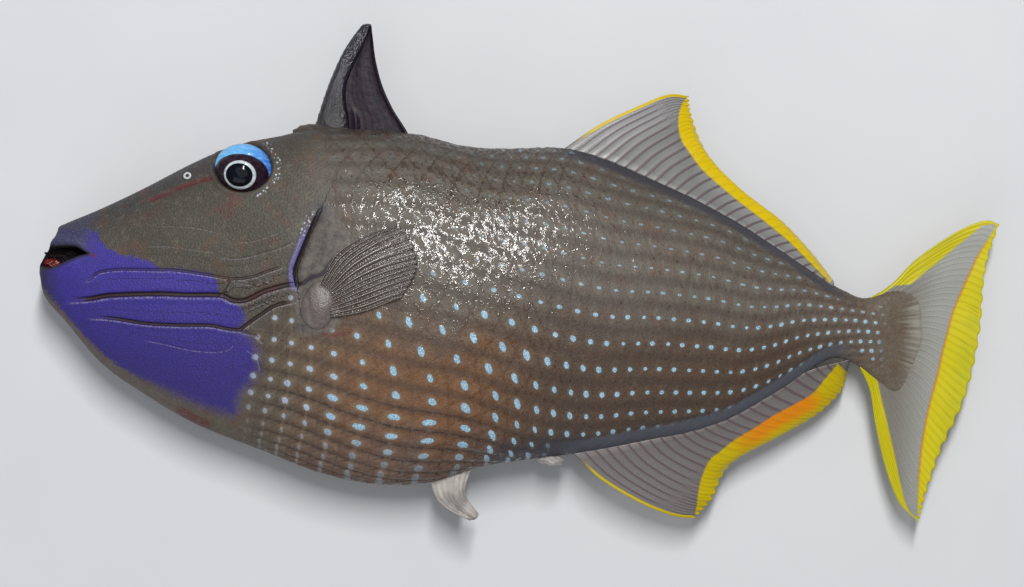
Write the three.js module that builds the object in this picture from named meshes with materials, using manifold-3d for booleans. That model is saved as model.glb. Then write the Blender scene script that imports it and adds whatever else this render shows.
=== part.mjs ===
// A gilded triggerfish, life size, lying on its right side as a caught fish rests. Millimetres, +Z up.
// +X runs from the snout to the tail, +Y from the belly to the back, and Z is 0 on the floor under the right flank.
// The origin is under the middle of the whole fish's box. The median plane lies MEDIAN_Z above the floor.
import * as THREE from "three";
import { ParametricGeometry } from "three/addons/geometries/ParametricGeometry.js";
import { mergeVertices } from "three/addons/utils/BufferGeometryUtils.js";
import Module from "manifold-3d";

const wasm = await Module();
wasm.setup();

// Driving dimensions
const SNOUT_X = -79.45; // front of the lower jaw
const GILL_X = -36.5; // where the head ends, at the gill opening
const STALK_X = 46; // where the trunk ends and the tail stalk begins
const TAIL_FIN_X = 58.2; // where the stalk ends and the tail fin begins
const TAIL_TIP_X = 79.45;
const MEDIAN_Z = 11.3; // height of the median plane, less than the half width, as the flank rests flat
const SAG_X = 10; // where the tail begins to hang
const TAIL_SAG = 3.2; // how far the tail hangs below the median plane at its tip
const FIN_SAG = 2.4; // how far the soft fins' edges hang below the median plane
const GAP = 0.3; // clearance between neighbouring parts
const FIN_THICKNESS = 0.6;
const EYE = new THREE.Vector3(-47.0, 13.8, 16.4); // centre of the left eye
const EYE_RADII = new THREE.Vector3(4.5, 3.9, 3.1);
const LIP_RADIUS = 0.55;
const MOUTH_HALF_WIDTH = 3.2;

// Outlines of the body from the side, each point [x, y]
const BACK = [[-79.45, -4.9], [-78.3, -3], [-77.4, -0.9], [-77, 0.9], [-76, 1.7], [-70.5, 4.7], [-64.2, 8.5],
  [-54.8, 14.6], [-48.4, 17.9], [-41.9, 20], [-36.9, 21.7], [-28, 22.7], [-18.8, 22.8], [-12, 21.8], [-5.3, 21.9],
  [5.2, 23.1], [11.5, 22.2], [21.8, 19.1], [32.3, 15.3], [42.9, 10.3], [50, 6.4], [54.5, 4.4], [58.2, 3.1]];
const BELLY = [[-79.45, -6.4], [-79.2, -7.8], [-78.1, -10.8], [-74.3, -14.5], [-67.8, -20.7], [-60.7, -24.9],
  [-51, -29.3], [-39.8, -32.5], [-29.4, -35.4], [-20.3, -36.3], [-11, -35.1], [-3, -31.7], [3.5, -29.9],
  [12, -27.9], [23.1, -24.8], [36, -20.3], [45.4, -13.8], [51.6, -8.8], [54.5, -7.4], [58.2, -8.5]];
// Half of the body's width along its length, each point [x, half width]
const GIRTH = [[-79.45, 1.9], [-77, 3.3], [-72, 4.9], [-60, 7.4], [-50, 9.1], [-40, 10.6], [-30, 11.8], [-18, 12.5],
  [-4, 12.2], [10, 11], [25, 9], [38, 6.6], [50, 4.1], [58.2, 2.9]];
// Powers that round the section off above and below its middle: 0.5 is an ellipse, less is boxier
const ROUNDING_ABOVE = [[-79.45, 0.4], [-46, 0.38], [-20, 0.5], [30, 0.56], [58.2, 0.52]];
const ROUNDING_BELOW = [[-79.45, 0.42], [-46, 0.54], [-10, 0.52], [30, 0.56], [58.2, 0.52]];

// A smooth function of x through the given points
function through(points) {
  const last = points.length - 1;
  const slopes = points.map((point, i) => {
    const [before, after] = [points[Math.max(i - 1, 0)], points[Math.min(i + 1, last)]];
    return (after[1] - before[1]) / (after[0] - before[0]);
  });
  return (x) => {
    if (x <= points[0][0]) return points[0][1];
    if (x >= points[last][0]) return points[last][1];
    const i = points.findIndex((point) => point[0] > x) - 1;
    const span = points[i + 1][0] - points[i][0];
    const t = (x - points[i][0]) / span;
    return points[i][1] * (2 * t ** 3 - 3 * t ** 2 + 1) + points[i + 1][1] * (3 * t ** 2 - 2 * t ** 3)
      + span * (slopes[i] * (t ** 3 - 2 * t ** 2 + t) + slopes[i + 1] * (t ** 3 - t ** 2));
  };
}

const backAt = through(BACK);
const bellyAt = through(BELLY);
const girthAt = through(GIRTH);
const roundingAbove = through(ROUNDING_ABOVE);
const roundingBelow = through(ROUNDING_BELOW);
const medianAt = (x) => MEDIAN_Z - TAIL_SAG * THREE.MathUtils.smoothstep(x, SAG_X, TAIL_TIP_X);

// Half width of the body at x, where level runs from -1 at the belly to 1 at the back
function halfWidth(x, level) {
  const rounding = level > 0 ? roundingAbove(x) : roundingBelow(x);
  return girthAt(x) * Math.max(1 - level * level, 0) ** rounding * (1 + 0.1 * level);
}

// Height of the upper, left flank over the floor
function leftFlank(x, y) {
  const [top, bottom] = [backAt(x), bellyAt(x)];
  const level = THREE.MathUtils.clamp((2 * y - top - bottom) / (top - bottom), -1, 1);
  return medianAt(x) + halfWidth(x, level);
}

// A closed solid from a geometry whose seams meet, turned to face out
function solid(geometry) {
  const bare = geometry.clone();
  bare.deleteAttribute("normal");
  bare.deleteAttribute("uv");
  const merged = mergeVertices(bare, 1e-4);
  const corners = Array.from(merged.index.array);
  const triangles = [];
  for (let i = 0; i < corners.length; i += 3) {
    const [a, b, c] = corners.slice(i, i + 3);
    if (a !== b && b !== c && c !== a) triangles.push([a, b, c]);
  }
  const make = (faces) => new wasm.Manifold(new wasm.Mesh({
    numProp: 3, vertProperties: merged.attributes.position.array, triVerts: Uint32Array.from(faces.flat()),
  }));
  const made = make(triangles);
  return made.volume() < 0 ? make(triangles.map(([a, b, c]) => [a, c, b])) : made;
}

function geometryOf(made) {
  const mesh = made.getMesh();
  const geometry = new THREE.BufferGeometry();
  const places = [];
  for (let i = 0; i < mesh.vertProperties.length; i += mesh.numProp) {
    places.push(...mesh.vertProperties.slice(i, i + 3));
  }
  geometry.setAttribute("position", new THREE.Float32BufferAttribute(places, 3));
  geometry.setIndex(Array.from(mesh.triVerts));
  geometry.computeVertexNormals();
  return geometry;
}

const curve = (points) => new THREE.SplineCurve(points.map(([x, y]) => new THREE.Vector2(x, y)));
const ellipsoid = (radii, place, grow = 0) => solid(new THREE.SphereGeometry(1, 16, 12)
  .scale(radii.x + grow, radii.y + grow, radii.z + grow)
  .translate(place.x, place.y, place.z));

// A body of rings from one end to the other: ringPlace gives the point at share around, on the ring at share along
function ringed(around, steps, ringPlace) {
  const place = (u, v, target) => {
    const ring = Math.round(v * (steps + 2)) - 1;
    const closed = ring < 0 || ring > steps;
    ringPlace(Math.round(u * around) % around, THREE.MathUtils.clamp(ring / steps, 0, 1), closed, target);
  };
  return solid(new ParametricGeometry(place, around, steps + 2));
}

// A length of the body between two stations, closed by flat ends, and pressed flat where it meets the floor
const BODY_SIDES = 32;
function bodyLength(from, to, steps, crowding = 1) {
  return ringed(BODY_SIDES, steps, (corner, along, closed, target) => {
    const x = from + (to - from) * along ** crowding;
    const [top, bottom] = [backAt(x), bellyAt(x)];
    const turn = 2 * Math.PI * corner / BODY_SIDES;
    const level = closed ? 0 : Math.sin(turn);
    const side = closed || Math.abs(Math.cos(turn)) < 1e-9 ? 0 : Math.sign(Math.cos(turn));
    const z = medianAt(x) + side * halfWidth(x, level);
    target.set(x, (top + bottom + (top - bottom) * level) / 2, Math.max(z, 0));
  });
}

// The point of a fin at share across, from its first ray to its last, and share along, from its root to its edge
function finPoint({ root, edge, first, last }, across, along) {
  const sides = [[first.getPoint(along), 1 - across], [last.getPoint(along), across]];
  const ends = [[root.getPoint(across), 1 - along], [edge.getPoint(across), along]];
  const corners = [[root.getPoint(0), (1 - across) * (1 - along)], [root.getPoint(1), across * (1 - along)],
    [edge.getPoint(0), (1 - across) * along], [edge.getPoint(1), across * along]];
  const point = new THREE.Vector2();
  for (const [part, weight] of [...sides, ...ends]) point.addScaledVector(part, weight);
  for (const [part, weight] of corners) point.addScaledVector(part, -weight);
  return point;
}

// A fin as a closed solid: middle gives the height of its middle plane, thick its thickness at a place on it
function finSolid(fin, { rays, steps, middle, thick }) {
  const around = 2 * rays + 2;
  return ringed(around, steps, (corner, along, closed, target) => {
    const upper = corner <= rays;
    const across = (upper ? corner : around - 1 - corner) / rays;
    const { x, y } = finPoint(fin, across, along);
    const half = closed ? 0 : thick(along, across) / 2;
    target.set(x, y, middle(x, y, along) + (upper ? half : -half));
  });
}

const parts = new THREE.Group();
function add(name, made, color, roughness) {
  const material = new THREE.MeshStandardMaterial({ color, roughness, metalness: 0 });
  const mesh = new THREE.Mesh(geometryOf(made), material);
  mesh.name = name;
  parts.add(mesh);
}

// Mouth: a wedge cut between the jaws, open to the front, and two lips that bend round its edges
const mouthOutline = [[-71.3, -2.8], [-73.3, -1.9], [-75.3, -2], [-77, -2.3], [-81, -2.1], [-81, -5.7], [-77.2, -5.7],
  [-75.9, -5.3], [-74.2, -4.3], [-72.7, -3.5]];
const mouthWedge = solid(new THREE.ExtrudeGeometry(
  new THREE.Shape(mouthOutline.map(([x, y]) => new THREE.Vector2(x, y))), { depth: 3 * MEDIAN_Z, bevelEnabled: false }));
const LIPS = { upper_lip: { front: [-77.3, -1.7], corner: [-73.6, -1.5] },
  lower_lip: { front: [-78.7, -6.1], corner: [-73.4, -4.3] } };
function lip({ front, corner }, grow = 0) {
  const bend = new THREE.CatmullRomCurve3([-1, -0.75, 0, 0.75, 1].map((side) => {
    const forward = 1 - Math.abs(side) ** 2.6;
    return new THREE.Vector3(
      THREE.MathUtils.lerp(corner[0], front[0], forward),
      THREE.MathUtils.lerp(corner[1], front[1], forward),
      MEDIAN_Z + side * MOUTH_HALF_WIDTH,
    );
  }));
  const section = new THREE.Shape().absarc(0, 0, LIP_RADIUS + grow, 0, 2 * Math.PI);
  return solid(new THREE.ExtrudeGeometry(section, {
    steps: 12, curveSegments: 4, extrudePath: bend, bevelEnabled: false }));
}

// Eyes: the left one looks up, and the right one is its mirror image in the median plane
const eyes = { eye_left: EYE, eye_right: new THREE.Vector3(EYE.x, EYE.y, 2 * MEDIAN_Z - EYE.z) };

function makeHead() {
  let head = bodyLength(SNOUT_X, GILL_X, 20, 1.6).subtract(mouthWedge);
  for (const place of Object.values(eyes)) head = head.subtract(ellipsoid(EYE_RADII, place, GAP));
  for (const shape of Object.values(LIPS)) head = head.subtract(lip(shape, GAP));
  return head;
}

// Pectoral fins: a fan of rays on a fleshy base behind the gill opening, the left one spread over its flank
const pectoral = {
  root: curve([[-32, -4.6], [-30.2, -6], [-29.6, -9]]),
  edge: curve([[-21.6, 6.5], [-18.7, 6.3], [-16.6, 1.8], [-16.6, -0.7], [-18.4, -4.7]]),
  first: curve([[-32, -4.6], [-29.8, 0.9], [-26, 4.2], [-21.6, 6.5]]),
  last: curve([[-29.6, -9], [-24.6, -7.6], [-20.8, -5.8], [-18.4, -4.7]]),
};
const PECTORAL_BASE = new THREE.Vector2(-31.7, -7.3);
const BASE_RADII = new THREE.Vector3(3, 4.1, 1.8);
function pectoralFin(fanMiddle, baseHeight) {
  const fan = finSolid(pectoral, { rays: 10, steps: 5, middle: fanMiddle, thick: () => FIN_THICKNESS });
  return [fan, ellipsoid(BASE_RADII, new THREE.Vector3(PECTORAL_BASE.x, PECTORAL_BASE.y, baseHeight))];
}
// The room round a small solid: the solid made larger about its own middle by the gap on every side
function roomAround(made) {
  const { min, max } = made.boundingBox();
  const middle = min.map((low, i) => (low + max[i]) / 2);
  return made.translate(middle.map((m) => -m))
    .scale(min.map((low, i) => 1 + 2 * GAP / (max[i] - low)))
    .translate(middle);
}
const leftPectoral = pectoralFin(
  (x, y) => leftFlank(x, y) + GAP + FIN_THICKNESS / 2,
  leftFlank(PECTORAL_BASE.x, PECTORAL_BASE.y) - 0.2,
);
// The right one lies folded flat between the flank and the floor
const rightPectoral = pectoralFin(() => FIN_THICKNESS / 2, 0);
const aboveFloor = solid(new THREE.BoxGeometry(60, 60, 10).translate(PECTORAL_BASE.x, PECTORAL_BASE.y, 5));

function makeTrunk() {
  let trunk = bodyLength(GILL_X + GAP, STALK_X, 24);
  for (const piece of [leftPectoral[1], ...rightPectoral]) trunk = trunk.subtract(roomAround(piece));
  return trunk;
}

// Curves just outside the back and the belly, for the roots of the fins there
const alongBack = (from, to) => curve([0, 0.2, 0.4, 0.6, 0.8, 1].map((t) => THREE.MathUtils.lerp(from, to, t))
  .map((x) => [x, backAt(x) + 1.3 * GAP]));
const alongBelly = (from, to) => curve([0, 0.2, 0.4, 0.6, 0.8, 1].map((t) => THREE.MathUtils.lerp(from, to, t))
  .map((x) => [x, bellyAt(x) - 1.3 * GAP]));
const straight = (from, to) => curve([[from.x, from.y], [to.x, to.y]]);
// A fin from its two outer rays: the root runs along the body between them
function fin(rootAlong, firstPoints, edgePoints) {
  const root = rootAlong(firstPoints[0][0], edgePoints.at(-1)[0] - 0.4);
  const [start, end] = [root.getPoint(0), root.getPoint(1)];
  const first = curve([[start.x, start.y], ...firstPoints.slice(1)]);
  const edge = curve(edgePoints);
  return { root, edge, first, last: straight(end, edge.getPoint(1)) };
}

const softDorsal = fin(alongBack,
  [[5.2, 23.2], [10.9, 27.4], [17.2, 31.3], [21.8, 33.7], [25.3, 33.9]],
  [[25.3, 33.9], [26.2, 30.4], [29.3, 24.7], [35.6, 19.1], [43.3, 14.5], [49, 9.6], [52.9, 5.5]]);
const anal = fin(alongBelly,
  [[12, -28], [17.1, -31.3], [24.1, -34.6], [30, -36.3], [33.9, -36.4]],
  [[33.9, -36.4], [36.4, -32.8], [38.8, -26.8], [46.2, -21.5], [51.8, -17.6], [56, -13], [56.9, -8.6]]);
const softThick = (along) => FIN_THICKNESS + 1.4 * (1 - along) ** 3;
const sagging = (x, y, along) => medianAt(x) - FIN_SAG * along ** 2;

const tailFin = {
  root: curve([[58.5, 3.2], [58.5, -2.7], [58.5, -8.6]]),
  edge: curve([[79.4, 18], [77.9, 10], [78.1, 0], [76.9, -11], [73.5, -21.4], [71.7, -29.6], [71.2, -33.2]]),
  first: curve([[58.5, 3.2], [62.3, 6], [66.3, 10.9], [72.4, 16], [76.8, 18.3], [79.4, 18]]),
  last: curve([[58.5, -8.6], [60.6, -11.9], [62.2, -17.6], [64.4, -24], [67.4, -30], [71.2, -33.2]]),
};
// The tail's fleshy root tapers into the thin rays over its first third
const tailThick = (along) => FIN_THICKNESS + 4.4 * Math.max(1 - 2.6 * along, 0) ** 1.5 + 0.8 * (1 - along);

// First dorsal fin: a stout spine, and the membrane behind it
const spineFront = curve([[-36.7, 22.2], [-36, 26.1], [-34.9, 31], [-32.6, 36.4], [-29.9, 40.3]]);
const spineRear = curve([[-31.2, 22.9], [-31.7, 27], [-31.5, 31], [-30.5, 35.2], [-29.2, 39.8]]);
const spine = {
  first: spineFront,
  last: spineRear,
  root: alongBack(-36.7, -31.2),
  edge: straight(spineFront.getPoint(1), spineRear.getPoint(1)),
};
spine.first.points[0].copy(spine.root.getPoint(0));
spine.last.points[0].copy(spine.root.getPoint(1));
const spineThick = (along, across) => 3.6 * (1 - 0.72 * along) * Math.max(Math.sin(Math.PI * across), 0.15) ** 0.6;
const webFront = curve(spineRear.points.map(({ x, y }) => [x + 1.3 * GAP, y - 0.3]));
const webRear = curve([[-21.5, 23.3], [-24.5, 28.1], [-27.3, 33.9], [-28, 39.3]]);
const web = {
  first: webFront,
  last: webRear,
  root: alongBack(webFront.points[0].x, -21.5),
  edge: straight(webFront.getPoint(1), webRear.getPoint(1)),
};
web.first.points[0].copy(web.root.getPoint(0));
web.last.points[0].copy(web.root.getPoint(1));
const webThick = (along) => FIN_THICKNESS + 1.2 * (1 - along);

// Pelvic flap: the blunt spine and skin fold under the belly
const pelvic = {
  first: curve([[-11, -35.5], [-9.6, -37.4], [-7, -39.3], [-3.8, -40.3]]),
  last: curve([[-4.4, -32.7], [-5.1, -35], [-4.6, -36.9], [-2.5, -39.4]]),
  root: alongBelly(-11, -4.4),
  edge: curve([[-3.8, -40.3], [-2.8, -40.1], [-2.5, -39.4]]),
};
pelvic.first.points[0].copy(pelvic.root.getPoint(0));
pelvic.last.points[0].copy(pelvic.root.getPoint(1));
const pelvicThick = (along, across) => 1 + 1.8 * (1 - along) * Math.sin(Math.PI * across);

add("head", makeHead(), "#5b564b", 0.4);
for (const [name, shape] of Object.entries(LIPS)) add(name, lip(shape), "#23202c", 0.3);
add("trunk", makeTrunk(), "#5c5447", 0.4);
add("tail_stalk", bodyLength(STALK_X + GAP, TAIL_FIN_X, 4), "#5f574b", 0.4);
for (const [name, place] of Object.entries(eyes)) add(name, ellipsoid(EYE_RADII, place), "#15131f", 0.1);
add("dorsal_spine", finSolid(spine, { rays: 6, steps: 7, middle: medianAt, thick: spineThick }), "#1c1a26", 0.3);
add("dorsal_spine_membrane", finSolid(web, { rays: 4, steps: 6, middle: medianAt, thick: webThick }), "#1a1722", 0.3);
for (const [name, shape, color] of [["second_dorsal_fin", softDorsal, "#c9a02c"], ["anal_fin", anal, "#b78c2c"]]) {
  add(name, finSolid(shape, { rays: 18, steps: 5, middle: sagging, thick: softThick }), color, 0.45);
}
add("tail_fin", finSolid(tailFin, { rays: 16, steps: 9, middle: medianAt, thick: tailThick }), "#c2b020", 0.45);
add("pectoral_fin_left", leftPectoral[0].add(leftPectoral[1]), "#6f6a66", 0.35);
add("pectoral_fin_right", rightPectoral[0].add(rightPectoral[1]).intersect(aboveFloor), "#6f6a66", 0.35);
add("pelvic_flap", finSolid(pelvic, { rays: 4, steps: 5, middle: medianAt, thick: pelvicThick }), "#b1aaa4", 0.4);

export default parts;
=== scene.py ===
# A gilded triggerfish, life size, lying on its right side: skin, scales, eyes, spine and fins.
# Shapes are worked out in millimetres and stored in metres. +X runs from the snout to the tail,
# +Y from the belly to the back, and Z is 0 on the floor under the right flank.
import math

import bpy
import numpy as np
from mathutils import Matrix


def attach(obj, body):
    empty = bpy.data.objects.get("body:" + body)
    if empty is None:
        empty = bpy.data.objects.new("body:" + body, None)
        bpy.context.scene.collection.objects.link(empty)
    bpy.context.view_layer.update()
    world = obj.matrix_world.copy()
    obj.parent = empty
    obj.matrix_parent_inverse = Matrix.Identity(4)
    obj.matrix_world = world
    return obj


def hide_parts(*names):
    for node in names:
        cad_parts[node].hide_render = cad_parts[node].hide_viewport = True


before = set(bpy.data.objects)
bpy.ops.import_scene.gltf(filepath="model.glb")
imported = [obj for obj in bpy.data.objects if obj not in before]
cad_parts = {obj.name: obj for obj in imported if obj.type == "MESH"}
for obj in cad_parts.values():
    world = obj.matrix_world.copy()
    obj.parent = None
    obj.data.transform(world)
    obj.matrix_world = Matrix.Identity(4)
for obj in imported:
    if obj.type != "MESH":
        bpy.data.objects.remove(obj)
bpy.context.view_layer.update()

bpy.ops.object.select_all(action="DESELECT")

MM = 0.001
SEED = 7
random = np.random.default_rng(SEED)

# Driving dimensions of the body
SNOUT_X = -79.45
TAIL_TIP_X = 79.45
FLESH_END_X = 68.6  # where the flesh over the tail rays ends
MEDIAN_Z = 11.3
SAG_X = 10.0
TAIL_SAG = 3.2
FIN_SAG = 2.4
SCALE_DEPTH = 0.25
FACE_SCALE_DEPTH = 0.1
FLOOR_GAP = 0.02  # least height of a scale over the floor
GILL_X = -36.5
SNOUT_ROUND = 0.9  # lengths over which both ends of the skin are rounded
FLESH_ROUND = 1.2
LEAST_GIRTH = 0.25
MOUTH_DEPTH = 1.9
MOUTH_WALL = 0.35

# Outlines of the body from the side, each point [x, y]
BACK = [[-79.45, -4.9], [-78.3, -3], [-77.4, -0.9], [-77, 0.9], [-76, 1.7], [-70.5, 4.7], [-64.2, 8.5],
        [-54.8, 14.6], [-48.4, 17.9], [-41.9, 20], [-36.9, 21.7], [-28, 22.7], [-18.8, 22.8], [-12, 21.8],
        [-5.3, 21.9], [5.2, 23.1], [11.5, 22.2], [21.8, 19.1], [32.3, 15.3], [42.9, 10.3], [50, 6.4],
        [54.5, 4.4], [58.2, 3.5], [62, 5.0], [65.2, 5.3], [67.4, 3.6], [68.6, -1.2]]
BELLY = [[-79.45, -6.4], [-79.2, -7.8], [-78.1, -10.8], [-74.3, -14.5], [-67.8, -20.7], [-60.7, -24.9],
         [-51, -29.3], [-39.8, -32.5], [-29.4, -35.4], [-20.3, -36.3], [-11, -35.1], [-3, -31.7],
         [3.5, -29.9], [12, -27.9], [23.1, -24.8], [36, -20.3], [45.4, -13.8], [51.6, -8.8], [54.5, -7.4],
         [58.2, -8.4], [61.5, -10.4], [65, -12.0], [66.8, -9.6], [68.6, -3.6]]
# Half of the body's width along its length, each point [x, half width]
GIRTH = [[-79.45, 1.9], [-77, 3.3], [-72, 4.9], [-60, 7.4], [-50, 9.1], [-40, 10.6], [-30, 11.8],
         [-18, 12.5], [-4, 12.2], [10, 11], [25, 9], [38, 6.6], [50, 4.1], [58.2, 2.8], [62, 1.9],
         [65.5, 1.0], [68.6, 0.6]]
# Powers that round the section off above and below its middle
ROUNDING_ABOVE = [[-79.45, 0.4], [-46, 0.38], [-20, 0.5], [30, 0.56], [58.2, 0.52]]
ROUNDING_BELOW = [[-79.45, 0.42], [-46, 0.54], [-10, 0.52], [30, 0.56], [58.2, 0.52]]

# The scale rows: the middle row's height, the distance between rows and between scales, and the lean
MIDDLE_ROW = [[-60, -2.2], [-36.2, -2.8], [-27.8, -3.2], [-19.3, -3.8], [-10.8, -5.0], [-2.3, -6.4],
              [6.3, -8.0], [14.7, -8.7], [23.0, -7.9], [31.3, -7.6], [38.0, -7.5], [42.9, -6.3],
              [47.8, -4.3], [55.9, -2.5], [61.7, -2.2], [70, -2.2]]
ROW_PITCH = [[-60, 3.6], [-35.2, 3.8], [-18.7, 4.4], [-7.1, 4.25], [6.2, 4.65], [24.4, 4.25], [34.4, 4.0],
             [44.3, 3.25], [54.2, 2.1], [61.7, 1.6], [70, 1.5]]
COLUMN_PITCH = [[-90, 2.2], [-40.2, 2.67], [-30.3, 3.67], [-18.7, 5.0], [-10.4, 4.83], [-2.1, 3.67],
                [7.9, 2.75], [31.1, 2.33], [57.6, 1.67], [75, 1.5]]
COLUMN_LEAN = [[-80, -0.2], [-39.7, -0.1], [-18.7, 0.3], [-7.1, 0.52], [5.4, 0.4], [31.1, 0.3],
               [55.9, 0.2], [75, 0.15]]
LEAN_CURVE = 0.0078
LEAN_REACH = 9.0  # the drop after which the lean grows no more
LEAN_LEVEL = (-10.2, 0.105)  # height and slope of the line that the lean is measured from
# Where the large body scales begin, each point [height, x]
SCALE_START = [[-37, -43], [-12, -41.5], [-7, -37.4], [0, -35.4], [7, -33], [13, -33], [23, -36]]

# Cheek grooves, each with its points, width and depth; the shallowest show mostly as a painted highlight
# line on the lower lip
GROOVES = [
    ([(-71.5, -7.6), (-70.1, -7.0), (-68.6, -5.7), (-65.1, -4.9), (-59.3, -4.4), (-55.7, -4.1),
      (-49.9, -4.3), (-46.2, -4.5), (-43.0, -3.8), (-40.9, -2.8), (-38.2, -1.6)], 0.2, 0.22),
    ([(-75.0, -11.1), (-70.1, -10.3), (-66.2, -9.3), (-58.9, -8.3), (-53.5, -7.9), (-48.1, -7.4),
      (-45.9, -8.0), (-43.7, -7.7), (-40.9, -6.0), (-37.4, -4.6), (-36.0, -4.4)], 0.34, 0.5),
    ([(-48.1, -7.4), (-47.4, -6.6), (-46.5, -4.7)], 0.16, 0.2),
    ([(-71.9, -13.4), (-66.4, -13.1), (-62.7, -13.2), (-59.9, -13.3), (-54.7, -13.0), (-49.4, -12.5),
      (-46.7, -12.7), (-44.5, -12.7), (-43.6, -12.0), (-41.3, -10.0), (-38.8, -8.1), (-35.7, -7.0)],
     0.24, 0.36),
    ([(-44.5, -12.7), (-43.5, -13.1), (-41.6, -13.3), (-40.3, -14.4)], 0.14, 0.16),
    ([(-61.8, -15.9), (-56.6, -16.3), (-52.2, -16.8), (-48.5, -16.7), (-46.0, -16.1), (-45.1, -14.9)],
     0.1, 0.1),
    ([(-49.3, -1.3), (-45.5, -1.0), (-41.9, 0.2), (-38.6, 1.6), (-37.0, 2.7)], 0.12, 0.13),
    ([(-46.6, 1.4), (-43.4, 2.1), (-40.5, 3.4), (-37.6, 5.0)], 0.1, 0.08),
    ([(-61.0, 2.7), (-57.0, 3.1), (-53.0, 3.2), (-49.6, 2.8)], 0.1, 0.06),
    ([(-62.2, -0.8), (-58.0, -0.3), (-54.0, -0.4), (-49.6, -0.5)], 0.1, 0.06),
    ([(-45.6, -5.2), (-42.6, -5.0), (-40.0, -4.0)], 0.1, 0.1),
    ([(-44.0, -9.6), (-41.5, -8.2), (-38.6, -6.6)], 0.1, 0.1),
    ([(-43.4, -15.5), (-41.0, -17.0), (-40.2, -19.5)], 0.1, 0.08),
]
GILL_SLIT = [(-33.2, 8.2), (-33.9, 6.2), (-34.6, 4.1), (-35.2, 2.0), (-35.9, -0.5), (-36.2, -2.2),
             (-35.7, -4.4)]
GILL_FOLD = [(-35.7, -4.4), (-34.6, -3.9), (-33.6, -3.0), (-31.7, -2.1), (-30.2, 0.3)]
VIOLET_PATCH = [(-78.2, 0.4), (-75.4, 1.0), (-73.4, 0.9), (-70.1, 0.9), (-69.1, -0.4), (-67.8, -1.6),
                (-65.1, -2.4), (-62.7, -2.7), (-60.1, -3.1), (-58.7, -4.0), (-55.3, -3.9),
                (-50.0, -4.2), (-48.6, -5.7), (-48.1, -7.4), (-45.7, -8.3), (-43.9, -9.4),
                (-43.4, -11.1), (-44.1, -12.5), (-42.4, -13.5), (-41.3, -15.0), (-40.5, -17.5),
                (-40.7, -20.0), (-43.2, -23.6), (-44.0, -27.0), (-49.7, -26.2), (-54.0, -24.9),
                (-57.5, -23.6), (-60.9, -22.4), (-64.3, -20.9), (-68.0, -18.6), (-71.6, -15.5),
                (-75.3, -12.2), (-77.9, -9.8), (-80.5, -7.0), (-80.5, -2)]
MOUTH = [(-71.0, -2.9), (-72.3, -2.3), (-73.3, -1.9), (-75.3, -2.0), (-77.0, -2.3), (-79.2, -3.2),
         (-81.5, -3.4), (-81.5, -5.6), (-78.7, -6.1), (-77.2, -5.9), (-75.9, -5.3), (-74.2, -4.3),
         (-72.7, -3.5)]
# Reddish stains: the bent line that each follows, its half width and its strength
STAINS = [
    ([(-51.9, 11.5), (-54.4, 10.7), (-57.5, 9.2), (-61.5, 7.0)], 0.62, 1.0),
    ([(-47.8, 8.9), (-48.4, 6.2)], 1.9, 0.5),
    ([(-71.2, -2.8), (-69.6, -3.2)], 0.45, 0.8),
    ([(-53.2, -27.4), (-51.2, -28.3), (-49.2, -29.0)], 1.2, 1.6),
    ([(-30.9, -12.1), (-27.5, -11.6), (-25.8, -11.2)], 0.4, 1.0),
    ([(-42.5, -7.0), (-39.5, -5.4)], 1.2, 0.35),
    ([(-66.0, 3.2), (-60.0, 5.0)], 1.6, 0.22),
]
BARE_SKIN = [(-35.4, 6.6), (-36.3, -2.0), (-35.6, -5.0), (-34.8, -12.0), (-29.5, -11.5), (-28.2, -8.5),
             (-28.8, -5.0), (-27.5, 0.5), (-28.5, 5.0), (-31.5, 8.0), (-33.6, 8.2)]

# The eye: middle and radii of its opening, dark iris, white ring and pupil, from the side
EYE_OPENING = ((-46.9, 13.9), (4.85, 4.1))
EYE_CENTRE = (-46.9, 13.6, 15.9)
EYE_RADII = (4.9, 4.25, 3.3)
IRIS = ((-47.05, 12.85), (4.5, 3.15))
RING = ((-47.1, 12.55), (2.66, 2.36))
PUPIL = ((-47.2, 12.52), (2.24, 1.92))
NOSTRIL = (-56.0, 11.6)
NOSTRIL_RADII = (0.5, 0.44, 0.5)


def through(points):
    """A smooth function of x through the points, and level outside them."""
    xs, ys = np.array(points, float).T
    slopes = np.empty_like(ys)
    slopes[1:-1] = (ys[2:] - ys[:-2]) / (xs[2:] - xs[:-2])
    slopes[0] = (ys[1] - ys[0]) / (xs[1] - xs[0])
    slopes[-1] = (ys[-1] - ys[-2]) / (xs[-1] - xs[-2])

    def value(x):
        x = np.clip(x, xs[0], xs[-1])
        i = np.clip(np.searchsorted(xs, x, side="right") - 1, 0, len(xs) - 2)
        reach = xs[i + 1] - xs[i]
        return curve((x - xs[i]) / reach, ys[i], ys[i + 1], reach * slopes[i], reach * slopes[i + 1])

    return value


def smooth(value, low, high):
    t = np.clip((value - low) / (high - low), 0, 1)
    return t * t * (3 - 2 * t)


def span(value, start, full, ending, end):
    """1 between full and ending, and 0 outside start and end."""
    return smooth(value, start, full) * (1 - smooth(value, ending, end))


def bell(distance, width):
    return np.exp(-(distance / width) ** 2)


def running_total(steps):
    return np.concatenate([[0], np.cumsum(steps)])


def curve(t, start, end, start_slope, end_slope):
    """A smooth step from start to end that leaves and arrives with these slopes."""
    return (start * (2 * t**3 - 3 * t**2 + 1) + end * (3 * t**2 - 2 * t**3)
            + start_slope * (t**3 - 2 * t**2 + t) + end_slope * (t**3 - t**2))


def spline(points, steps=8):
    """A dense smooth line through the points, as an array of places."""
    points = np.array(points, float)
    before = np.vstack([2 * points[0] - points[1], points[:-1]])
    after = np.vstack([points[1:], 2 * points[-1] - points[-2]])
    slopes = (after - before) / 2
    share = np.linspace(0, 1, steps, endpoint=False)[:, None]
    pieces = [curve(share, points[i], points[i + 1], slopes[i], slopes[i + 1])
              for i in range(len(points) - 1)]
    return np.vstack([*pieces, points[-1:]])


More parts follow.
